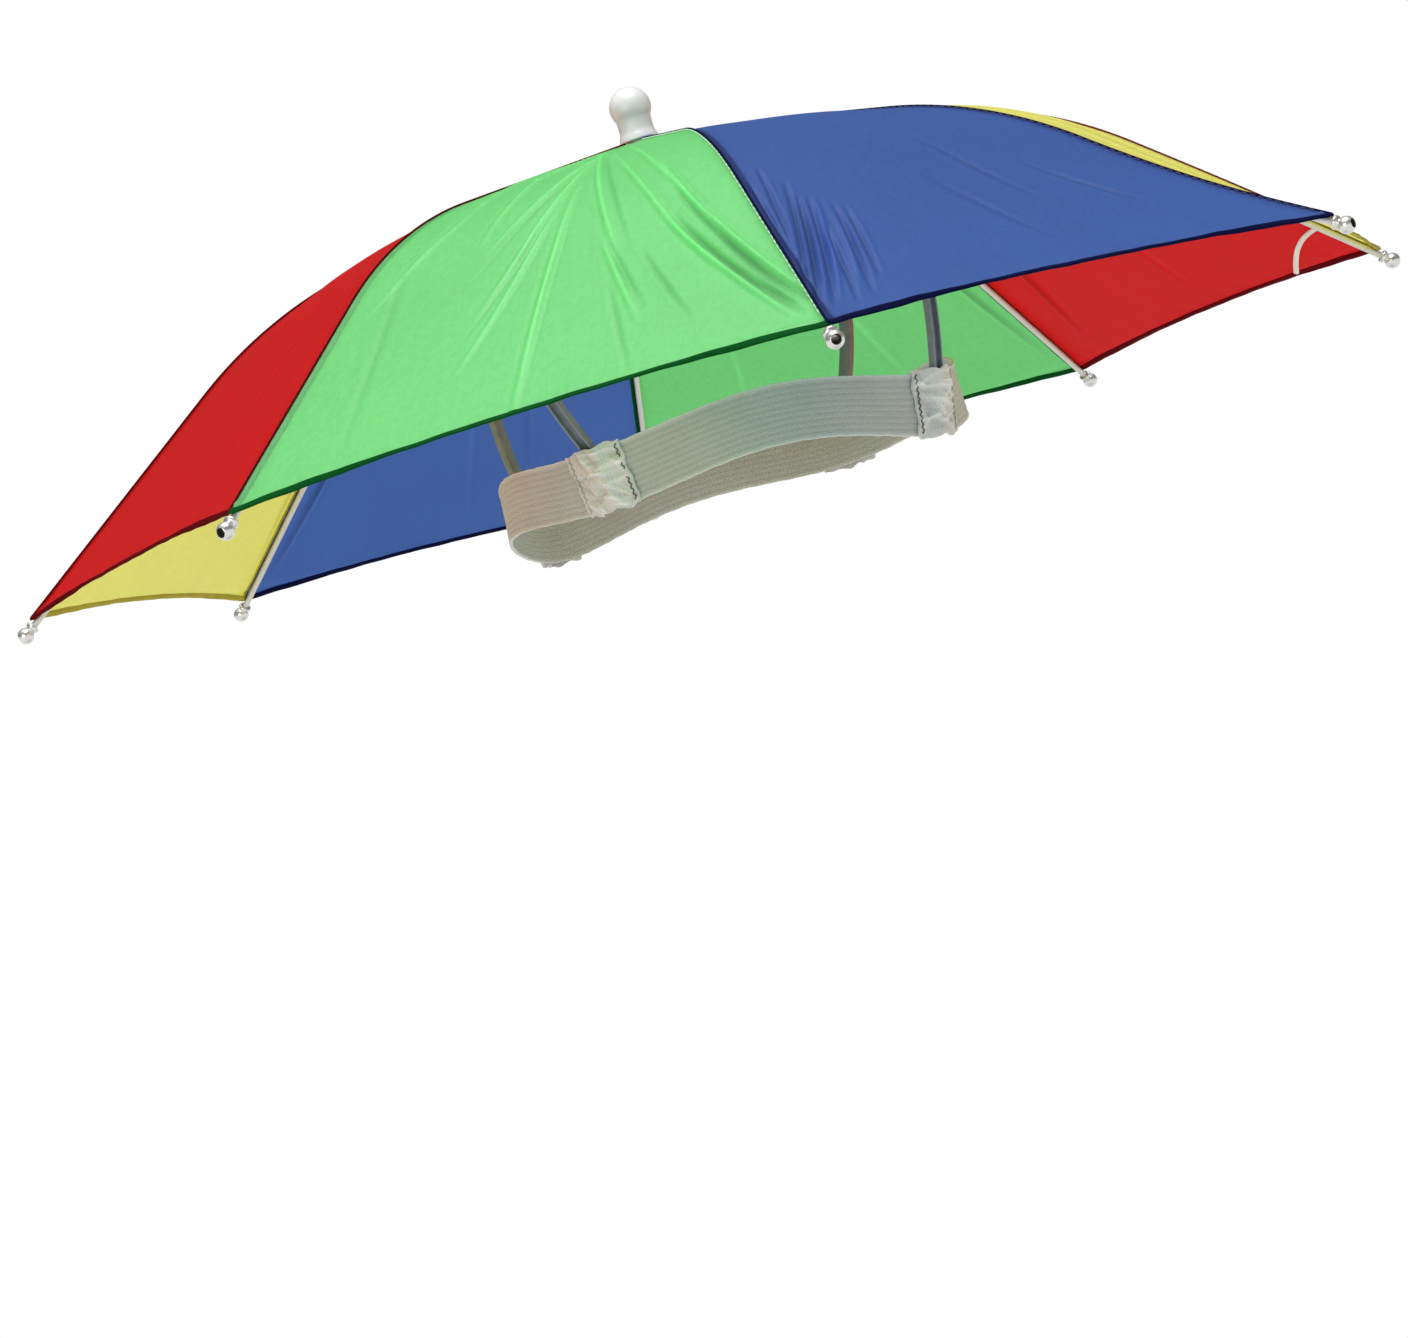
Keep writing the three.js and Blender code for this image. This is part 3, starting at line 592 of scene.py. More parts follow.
@dataclass
class Effects:
    """The surface effects that several finishes share, each a node group that is built once."""

    @cached_property
    def weave(self) -> Tree:
        """A plain weave: warp and weft threads that pass over and under each other.

        Returns:
            The group, with the height of the threads and a mask of the gaps between them, where the
            finishes paint shade.
        """
        start = {"Vector": (0.0, 0.0, 0.0), "Warp": 2000.0, "Weft": 2000.0}
        tree, nodes, given, made = new_group("Plain weave", start, ("Height", "Gaps"))
        apart = nodes.add("ShaderNodeSeparateXYZ", {0: given["Vector"]}).outputs
        threads = []
        for axis, rate in enumerate(("Warp", "Weft")):
            turns = nodes.math("MULTIPLY", apart[axis], nodes.math("MULTIPLY", given[rate], math.pi))
            threads.append(nodes.math("SINE", turns))
        warp, weft = threads
        over = nodes.span(nodes.math("MULTIPLY", warp, weft), 0.25, 0.75)
        crossing = nodes.math("MULTIPLY", nodes.math("ABSOLUTE", warp), nodes.math("ABSOLUTE", weft))
        nodes.feed(made["Height"], nodes.math("ADD", nodes.math("MULTIPLY", over, 0.5), crossing))
        nodes.feed(made["Gaps"], nodes.math("SUBTRACT", 1.0, nodes.math("POWER", crossing, 0.5)))
        return tree

    @cached_property
    def clouding(self) -> Tree:
        """Soft uneven tone, as of dye, dust or casting.

        Returns:
            The group, with a tone about 1 and a mask.
        """
        start = {"Vector": (0.0, 0.0, 0.0), "Patches": 20.0, "Depth": 0.05, "Grit": 4.0}
        tree, nodes, given, made = new_group("Clouding", start, ("Tone", "Mask"))
        noise = nodes.noise(given["Vector"], given["Patches"], given["Grit"])
        spread = nodes.math("MULTIPLY", nodes.math("SUBTRACT", noise, 0.5), 2.0)
        nodes.feed(made["Tone"], nodes.math("ADD", 1.0, nodes.math("MULTIPLY", spread, given["Depth"])))
        nodes.feed(made["Mask"], nodes.mask(noise, 0.45, 0.7))
        return tree

    @cached_property
    def streaks(self) -> Tree:
        """Fine lines along the second direction of the surface, as of thick threads, rolling or drawing.

        Returns:
            The group, with a height and a mask of the strongest lines.
        """
        start = {"Vector": (0.0, 0.0, 0.0), "Across": 900.0, "Along": 12.0}
        tree, nodes, given, made = new_group("Streaks", start, ("Height", "Mask"))
        rates = {0: given["Across"], 1: given["Along"], 2: given["Along"]}
        stretch = nodes.add("ShaderNodeCombineXYZ", rates).outputs[0]
        place = nodes.add("ShaderNodeVectorMath", {0: given["Vector"], 1: stretch}, operation="MULTIPLY")
        noise = nodes.noise(place.outputs[0], 1.0, 3.0)
        nodes.feed(made["Height"], noise)
        nodes.feed(made["Mask"], nodes.mask(noise, 0.58, 0.72))
        return tree


class Surface:
    """A material being put together: its coordinates, its Principled BSDF and its bump."""

    def __init__(self, name: str, effects: Effects) -> None:
        """Starts a material with its coordinates.

        Args:
            name: The material's name.
            effects: The shared node groups.
        """
        self.material = bpy.data.materials.new(name)
        self.material.use_nodes = True
        self.material.node_tree.nodes.clear()
        self.nodes = Nodes(self.material.node_tree)
        self.effects = effects
        place = self.nodes.add("ShaderNodeTexCoord")
        self.uv = place.outputs["UV"]
        self.place = place.outputs["Object"]
        self.heights: list[tuple[Any, float]] = []

    def effect(self, tree: Tree, vector: Any = None, **values: float) -> dict[str, Socket]:
        """Places a shared effect, on the cloth unless a vector is given, and returns its outputs."""
        outputs = self.nodes.group(tree, {"Vector": vector or self.uv, **values}).outputs
        return {socket.name: socket for socket in outputs}

    def clouding(self, **values: float) -> dict[str, Socket]:
        """Places the clouding over the whole piece."""
        return self.effect(self.effects.clouding, self.place, **values)

    def toned(self, colour: Colour, *tones: Socket) -> Socket:
        """A colour multiplied by tones.

        Args:
            colour: The plain colour.
            *tones: Numbers about 1.

        Returns:
            The colour that changes over the surface.
        """
        tone = tones[0]
        for more in tones[1:]:
            tone = self.nodes.math("MULTIPLY", tone, more)
        grey = self.nodes.add("ShaderNodeCombineColor", {0: tone, 1: tone, 2: tone}).outputs[0]
        return self.nodes.mixed(1.0, colour, grey, "MULTIPLY")

    def folds(self, contrast: float) -> Socket:
        """The painted shade of the folds kept in the mesh: below 1 in their valleys, a painted highlight
        above 1 on their ridges, 1 where there are none.
        """
        pressed = self.nodes.add("ShaderNodeAttribute", attribute_name=PAINTED_SHADE_ATTRIBUTE).outputs["Fac"]
        return self.nodes.math("SUBTRACT", 1.0, self.nodes.math("MULTIPLY", pressed, contrast))

    def relief(self, height: Socket, depth: float) -> None:
        """Adds a height to the surface's bump, in metres from its lowest to its highest."""
        self.heights.append((height, depth))

    def normal(self) -> Socket:
        """Joins the heights in one chain of bumps and returns the normal."""
        normal: Any = None
        for height, depth in self.heights:
            inputs = {"Height": height, "Distance": depth, "Strength": 1.0}
            if normal is not None:
                inputs["Normal"] = normal
            normal = self.nodes.add("ShaderNodeBump", inputs).outputs[0]
        return normal

    def principled(self, **inputs: Any) -> bpy.types.Node:
        """Adds the Principled BSDF, with underscores for the spaces in its inputs' names."""
        named = {name.replace("_", " "): value for name, value in inputs.items()}
        named["Normal"] = self.normal()
        return self.nodes.add("ShaderNodeBsdfPrincipled", named)

    def finished(self, shader: Socket) -> Material:
        """Links the shader to the output and returns the material."""
        self.nodes.add("ShaderNodeOutputMaterial", {"Surface": shader})
        return self.material


@dataclass(frozen=True)
class Finish:
    """A finish of the hat: its material's name, its slot and its plain colour."""

    name: str
    slot: str
    colour: Colour

    def shader(self, surface: Surface) -> Socket:
        """Builds the shader, which each kind of finish does in its own way."""
        raise NotImplementedError

    def material(self, effects: Effects) -> Material:
        """Builds the material, with the shared node groups."""
        surface = Surface(self.name, effects)
        return surface.finished(self.shader(surface))


@dataclass(frozen=True)
class Nylon(Finish):
    """Thin satin nylon: dyed taffeta that lets light through."""

    glow: Colour
    through: float = 0.42
    shine: float = 0.5
    warp: float = 1700.0
    weft: float = 1500.0
    painted_shade_contrast: float = 0.5
    thread_height: float = 0.02 * MM
    slub_height: float = 0.03 * MM
    mottle_height: float = 0.6 * MM

    def shader(self, surface: Surface) -> Socket:
        """Builds the cloth's shader.

        Args:
            surface: The material so far.

        Returns:
            The shader's output.
        """
        nodes, effects = surface.nodes, surface.effects
        weave = surface.effect(effects.weave, Warp=self.warp, Weft=self.weft)
        dye = surface.clouding(Patches=22.0, Depth=0.07, Grit=5.0)
        mottle = surface.clouding(Patches=420.0, Depth=0.16, Grit=3.0)
        slubs = surface.effect(effects.streaks, Across=1400.0, Along=40.0)
        # Painted shade in the gaps between the threads.
        gaps = nodes.span(weave["Gaps"], 1.0, 0.93)
        slub_tone = nodes.span(slubs["Height"], 0.96, 1.04)
        # The folds' painted shade and highlight, times the slubs' random tone; both the base and the
        # translucent colour take it.
        tone = nodes.math("MULTIPLY", slub_tone, surface.folds(self.painted_shade_contrast))
        surface.relief(weave["Height"], self.thread_height)
        surface.relief(slubs["Height"], self.slub_height)
        surface.relief(mottle["Tone"], self.mottle_height)
        cloth = surface.principled(
            Base_Color=surface.toned(self.colour, dye["Tone"], mottle["Tone"], gaps, tone),
            Roughness=nodes.span(mottle["Mask"], 0.40, 0.50),
            Specular_IOR_Level=self.shine,
            Sheen_Weight=0.03,
            Sheen_Roughness=0.4,
        )
        glow = surface.toned(self.glow, dye["Tone"], tone)
        through = nodes.add("ShaderNodeBsdfTranslucent", {"Color": glow})
        parts = {0: self.through, 1: cloth.outputs[0], 2: through.outputs[0]}
        return nodes.add("ShaderNodeMixShader", parts).outputs[0]


@dataclass(frozen=True)
class Hemming(Finish):
    """Doubled and stitched cloth at an edge or a seam, which no light comes through, its colour darkened as
    painted shade.
    """

    warp: float = 1700.0
    weft: float = 1500.0
    thread_height: float = 0.03 * MM
    pull_height: float = 0.3 * MM

    def shader(self, surface: Surface) -> Socket:
        """Builds the shader of a hem.

        Args:
            surface: The material so far.

        Returns:
            The shader's output.
        """
        nodes, effects = surface.nodes, surface.effects
        weave = surface.effect(effects.weave, Warp=self.warp, Weft=self.weft)
        dye = surface.clouding(Patches=150.0, Depth=0.2, Grit=4.0)
        pulls = surface.effect(effects.streaks, Across=300.0, Along=160.0)
        surface.relief(weave["Height"], self.thread_height)
        surface.relief(pulls["Height"], self.pull_height)
        # The base colour is darkened in the weave's gaps: painted shade between the threads.
        cloth = surface.principled(
            Base_Color=surface.toned(self.colour, dye["Tone"], nodes.span(weave["Gaps"], 1.0, 0.85)),
            Roughness=nodes.span(pulls["Mask"], 0.75, 0.9),
            Specular_IOR_Level=0.04,
        )
        return cloth.outputs[0]


@dataclass(frozen=True)
class Elastic(Finish):
    """Woven elastic: rubber cords under yarn, in fine ribs along its length."""

    cords: float = 1300.0
    crimps: float = 1100.0
    painted_shade_contrast: float = 0.35
    yarn_height: float = 0.1 * MM
    fuzz_height: float = 0.1 * MM

    def shader(self, surface: Surface) -> Socket:
        """Builds the shader of the elastic.

        Args:
            surface: The material so far.

        Returns:
            The shader's output.
        """
        nodes, effects = surface.nodes, surface.effects
        weave = surface.effect(effects.weave, Warp=self.crimps, Weft=self.cords)
        grime = surface.clouding(Patches=60.0, Depth=0.08, Grit=5.0)
        fuzz = surface.effect(effects.streaks, Across=900.0, Along=500.0)
        surface.relief(weave["Height"], self.yarn_height)
        surface.relief(fuzz["Height"], self.fuzz_height)
        tones = (
            grime["Tone"],
            # Painted shade in the gaps between the yarns.
            nodes.span(weave["Gaps"], 1.02, 0.88),
            nodes.span(fuzz["Height"], 0.92, 1.05),
            # Painted shade and highlight kept in the mesh.
            surface.folds(self.painted_shade_contrast),
        )
        cloth = surface.principled(
            Base_Color=surface.toned(self.colour, *tones),
            Roughness=nodes.span(fuzz["Mask"], 0.78, 0.9),
            Sheen_Weight=0.3,
            Sheen_Roughness=0.6,
        )
        return cloth.outputs[0]


@dataclass(frozen=True)
class Metal(Finish):
    """Rolled, drawn or plated metal."""

    metallic: float
    roughness: float
    across: float = 1500.0
    along: float = 30.0
    tarnish: float = 0.15
    relief: float = 0.03 * MM
    worn_roughness: float = 0.18

    def shader(self, surface: Surface) -> Socket:
        """Builds the metal's shader.

        Args:
            surface: The material so far.

        Returns:
            The shader's output.
        """
        nodes, effects = surface.nodes, surface.effects
        lines = surface.effect(effects.streaks, Across=self.across, Along=self.along)
        stain = surface.clouding(Patches=240.0, Depth=self.tarnish, Grit=5.0)
        surface.relief(lines["Height"], self.relief)
        surface.relief(stain["Tone"], self.relief)
        line_tone = nodes.span(lines["Height"], 0.9, 1.1)
        steel = surface.principled(
            Base_Color=surface.toned(self.colour, stain["Tone"], line_tone),
            Metallic=self.metallic,
            Roughness=nodes.span(stain["Mask"], self.roughness, self.roughness + self.worn_roughness),
        )
        return steel.outputs[0]


@dataclass(frozen=True)
class Plastic(Finish):
    """Moulded white plastic, a little milky."""

    roughness: float = 0.28
    scuffed_roughness: float = 0.15
    grain_height: float = 0.8 * MM

    def shader(self, surface: Surface) -> Socket:
        """Builds the plastic's shader.

        Args:
            surface: The material so far.

        Returns:
            The shader's output.
        """
        nodes, effects = surface.nodes, surface.effects
        flow = surface.clouding(Patches=90.0, Depth=0.03, Grit=3.0)
        grain = surface.clouding(Patches=900.0, Depth=0.02, Grit=2.0)
        scuffs = surface.effect(effects.streaks, Across=260.0, Along=40.0)
        surface.relief(grain["Tone"], self.grain_height)
        plastic = surface.principled(
            Base_Color=surface.toned(self.colour, flow["Tone"], grain["Tone"]),
            Roughness=nodes.span(scuffs["Mask"], self.roughness, self.roughness + self.scuffed_roughness),
            Subsurface_Weight=0.12,
            Subsurface_Radius=(0.004, 0.004, 0.004),
            Subsurface_Scale=0.5,
            Coat_Roughness=0.1,
        )
        return plastic.outputs[0]


@dataclass(frozen=True)
class Thread(Finish):
    """Sewing thread with its twist."""

    twists: float = 2600.0
    twist_height: float = 0.05 * MM

    def shader(self, surface: Surface) -> Socket:
        """Builds the thread's shader.

        Args:
            surface: The material so far.

        Returns:
            The shader's output.
        """
        nodes, effects = surface.nodes, surface.effects
        twist = surface.effect(effects.weave, surface.place, Warp=self.twists, Weft=self.twists)
        dye = surface.clouding(Patches=300.0, Depth=0.12, Grit=3.0)
        surface.relief(twist["Height"], self.twist_height)
        # The base colour is darkened in the twist's grooves: painted shade.
        yarn = surface.principled(
            Base_Color=surface.toned(self.colour, dye["Tone"], nodes.span(twist["Gaps"], 1.0, 0.8)),
            Roughness=nodes.span(dye["Mask"], 0.6, 0.75),
            Sheen_Weight=0.3,
        )
        return yarn.outputs[0]


NYLON = {
    Hue.GREEN: Nylon("Nylon green", "cloth_green", (0.165, 0.63, 0.2), (0.21, 0.93, 0.24)),
    Hue.BLUE: Nylon("Nylon blue", "cloth_blue", (0.025, 0.048, 0.24), (0.085, 0.25, 0.74), shine=0.32),
    Hue.YELLOW: Nylon("Nylon yellow", "cloth_yellow", (0.82, 0.79, 0.23), (0.995, 0.95, 0.075)),
    Hue.RED: Nylon("Nylon red", "cloth_red", (0.51, 0.003, 0.004), (0.98, 0.018, 0.018), shine=0.08),
}
# Far darker than the nylon of the same dye: painted shade, over the real darkening of doubled cloth that no
# light comes through.
HEMMING = {
    Hue.GREEN: Hemming("Hemming green", "cloth_green", (0.002, 0.08, 0.012)),
    Hue.BLUE: Hemming("Hemming blue", "cloth_blue", (0.003, 0.005, 0.042)),
    Hue.YELLOW: Hemming("Hemming yellow", "cloth_yellow", (0.48, 0.4, 0.05)),
    Hue.RED: Hemming("Hemming red", "cloth_red", (0.12, 0.001, 0.003)),
}
THREAD = {
    Hue.GREEN: Thread("Thread green", "cloth_green", (0.04, 0.3, 0.07)),
    Hue.BLUE: Thread("Thread blue", "cloth_blue", (0.014, 0.024, 0.14)),
    Hue.YELLOW: Thread("Thread yellow", "cloth_yellow", (0.55, 0.48, 0.06)),
    Hue.RED: Thread("Thread red", "cloth_red", (0.26, 0.006, 0.008)),
}
# Pale green stitches on the seams between green and blue: a painted highlight along the green cloth's edge.
PAINTED_HIGHLIGHT_THREAD = Thread("Painted highlight thread", "white_elastic", (0.52, 0.88, 0.52))
DARK_THREAD = Thread("Dark thread", "white_elastic", (0.06, 0.07, 0.07))
# The band is the same white elastic as the pockets, its colour darkened as painted shade under the canopy.
BAND_ELASTIC_PAINTED_SHADE = Elastic("Band elastic", "white_elastic", (0.5, 0.505, 0.45))
POCKET_ELASTIC = Elastic("Pocket elastic", "white_elastic", (0.68, 0.67, 0.62))
TAPE_ELASTIC = Elastic("Tape elastic", "white_elastic", (0.95, 0.86, 0.76))
RIB_STEEL = Metal("Rib steel", "rib_wire", (0.74, 0.72, 0.66), 0.35, 0.38, tarnish=0.1)
PLATING = Metal("Plating", "tip_metal", (0.80, 0.79, 0.76), 0.75, 0.2, 500.0, 500.0, tarnish=0.1)
# Near-black metal for the inside of a tip's eye: painted shade in the hole.
EYE_PAINTED_SHADE = Metal("Eye painted shade", "tip_metal", (0.035, 0.032, 0.030), 0.2, 0.6, 500.0, 500.0)
LEG_STEEL = Metal("Leg steel", "leg_steel", (0.22, 0.25, 0.27), 0.45, 0.45, 1100.0, 60.0, tarnish=0.35)
WHITE_PLASTIC = Plastic("White plastic", "white_plastic", (0.80, 0.81, 0.81))


class Wardrobe:
    """Makes each finish's material once, and dresses pieces in them."""

    def __init__(self) -> None:
        """Starts with no materials."""
        self.effects = Effects()
        self.made: dict[Finish, Material] = {}

    def material(self, finish: Finish) -> Material:
        """Gives the material of a finish, made when it is first asked for."""
        if finish not in self.made:
            self.made[finish] = finish.material(self.effects)
        return self.made[finish]

    def dress(self, piece: Piece, finish: Finish, *nodes: str) -> Piece:
        """Gives a piece its finish and its place on the hat.

        Args:
            piece: The object.
            finish: The finish.
            *nodes: The nodes of the model that the piece stands for.

        Returns:
            The piece.
        """
        piece.data.materials.append(self.material(finish))
        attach(piece, BODY)
        if nodes:
            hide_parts(*nodes)
        LOG.info("%s: %d faces, %s", piece.name, len(piece.data.polygons), finish.name)
        return piece


@dataclass(frozen=True)
class CanopyForm:
    """The line of the ribs and the cloth over it."""

    tip_radius: float = 265 * MM
    wire_rise: float = 115 * MM
    rim_lift: float = 5.25 * MM
    inner_slope: float = math.radians(10)
    bend_start: float = 108 * MM
    bend_end: float = 178 * MM
    wire: float = 2.4 * MM
    cloth_lift: float = 1.95 * MM
    cloth_wall: float = 1.1 * MM
    cloth_to_tip: float = 1 * MM
    hole: float = 6 * MM
    hem_bow: float = 5 * MM
    billow: float = 1.5 * MM
    droop_peak: float = 1.8
    ball: float = 3 * MM
    neck: float = 2.7 * MM
    neck_radius: float = 2.3 * MM
    engagement: float = 4.4 * MM
    hub_radius: float = 8.2 * MM
    flange_radius: float = 14 * MM
    runner_drop: float = 19.5 * MM
    ridge_room: float = 1.035

    @cached_property
    def outer_slope(self) -> float:
        """The slope of the ribs' outer reach, which brings the line down to the plane of the balls."""
        low, high, halvings = self.inner_slope, math.radians(80), 50
        for _ in range(halvings):
            middle = (low + high) / 2
            end = self.height_after_bend(middle) - (self.tip_radius - self.bend_end) * math.tan(middle)
            low, high = (middle, high) if end > 0 else (low, middle)
        return (low + high) / 2

    def bend_radius(self, slope: float) -> float:
        """The radius of the bend that leads to an outer slope."""
        return (self.bend_end - self.bend_start) / (math.sin(slope) - math.sin(self.inner_slope))

    def height_after_bend(self, slope: float) -> float:
        """The height over the plane of the balls where the bend ends."""
        drop = self.bend_radius(slope) * (math.cos(self.inner_slope) - math.cos(slope))
        return self.wire_rise - self.bend_start * math.tan(self.inner_slope) - drop

    @property
    def peak(self) -> float:
        """The height where the ribs' lines cross on the axis."""
        return self.rim_lift + self.wire_rise

    @property
    def wire_below(self) -> float:
        """From a rib's axis to what lies under its inner reach."""
        return (self.wire / 2 + GAP) / math.cos(self.inner_slope)

    @property
    def cloth_inside(self) -> float:
        """From a rib's axis to the inner face of the model's cloth."""
        return (self.wire / 2 + GAP) * self.ridge_room

    @property
    def flange_top(self) -> float:
        """The height of the hub's flange."""
        return self.peak - self.flange_radius * math.tan(self.inner_slope) - self.wire_below

    @property
    def tip_axis(self) -> float:
        """From a tip's mouth to the centre of its ball."""
        return self.neck + math.sqrt(self.ball**2 - self.neck_radius**2)

    @property
    def cloth_reach(self) -> float:
        """The radius of a gore's two corners."""
        return self.tip_radius - self.tip_axis * math.cos(self.outer_slope) - self.cloth_to_tip

    def wire_height(self, rib: Rib, radius: Any) -> Array:
        """The height of a rib's axis.

        Args:
            rib: The rib.
            radius: The distance from the hat's axis.

        Returns:
            The height at each radius.
        """
        radius, steepest = np.asarray(radius, float), 0.999
        straight = self.peak - radius * math.tan(self.inner_slope)
        bend = self.bend_radius(self.outer_slope)
        sine = np.clip((radius - self.bend_start) / bend + math.sin(self.inner_slope), 0, steepest)
        start = self.peak - self.bend_start * math.tan(self.inner_slope)
        arc = start - bend * (math.cos(self.inner_slope) - np.sqrt(1 - sine**2))
        after = self.rim_lift + self.height_after_bend(self.outer_slope)
        outer = after - (radius - self.bend_end) * math.tan(self.outer_slope)
        line = np.where(radius <= self.bend_start, straight, np.where(radius >= self.bend_end, outer, arc))
        sag = np.sin(math.pi * (np.maximum(radius, 0) / self.tip_radius) ** self.droop_peak)
        return line - rib.droop * self.wire_rise * sag

    def wire_slope(self, rib: Rib, radius: Any) -> Array:
        """How steeply a rib falls at a radius."""
        drop = self.wire_height(rib, radius - MM) - self.wire_height(rib, radius + MM)
        return np.arctan(drop / (2 * MM))

    def over_wire(self, rib: int, radius: Array, lift: Any) -> Array:
        """Points over a rib.

        Args:
            rib: The rib's number.
            radius: The radius where the rib is measured.
            lift: How far the points are raised from the rib's axis, at right angles to it.

        Returns:
            The points.
        """
        which = RIBS[rib % len(RIBS)]
        slope = self.wire_slope(which, radius)
        out = radius + lift * np.sin(slope)
        height = self.wire_height(which, radius) + lift * np.cos(slope)
        return np.stack([out * math.cos(rib * STEP), out * math.sin(rib * STEP), height], axis=-1)

    def reach(self, radius: Array) -> Array:
        """How far out a gore's row lies, from 0 at the hole to 1 at the hem."""
        return (radius - self.hole) / (self.cloth_reach - self.hole)

    def row_radius(self, reach: Array, across: Array) -> Array:
        """The radius of a gore's row, bowed in at the middle of the hem."""
        bow = self.hem_bow * math.cos(self.outer_slope) * (1 - across**2) * reach**2
        return lerp(self.hole, self.cloth_reach, reach) - bow

    def half_width(self, radius: Any) -> Any:
        """Half of a gore's width at a radius."""
        return radius * math.sin(STEP / 2)

    def gore_point(self, gore: int, across: Array, radius: Array, lift: Any, relief: Any = 0.0) -> Array:
        """Points of a gore.

        Args:
            gore: The gore's number.
            across: From -1 at its first rib to 1 at its second.
            radius: The radius at its ribs.
            lift: The cloth's height over the ribs' axes.
            relief: What stands proud of the smooth cloth.

        Returns:
            The points.
        """
        first = self.over_wire(gore, radius, lift)
        second = self.over_wire(gore + 1, radius, lift)
        point = lerp(first, second, ((across + 1) / 2)[..., None])
        reach = np.clip(self.reach(radius), 0, 1)
        slope = self.wire_slope(RIBS[gore], radius)
        middle = (gore + 0.5) * STEP
        proud = self.billow * (1 - across**2) * np.sin(math.pi * reach) + relief
        lean = proud * np.sin(slope)
        raised = [lean * math.cos(middle), lean * math.sin(middle), proud * np.cos(slope)]
        return point + np.stack(raised, axis=-1)

    def rib_frame(self, rib: Rib, radius: Array) -> tuple[Array, Array, Array]:
        """A rib's line in its own upright plane.

        Args:
            rib: The rib.
            radius: The radii of its points.

        Returns:
            The points, the directions to the rib's side and those at right angles to it, upward.
        """
        slope = self.wire_slope(rib, radius)
        nothing = np.zeros_like(radius)
        path = np.stack([radius, nothing, self.wire_height(rib, radius)], axis=-1)
        side = np.broadcast_to(np.array([0.0, 1.0, 0.0]), path.shape)
        up = np.stack([np.sin(slope), nothing, np.cos(slope)], axis=-1)
        return path, side, up


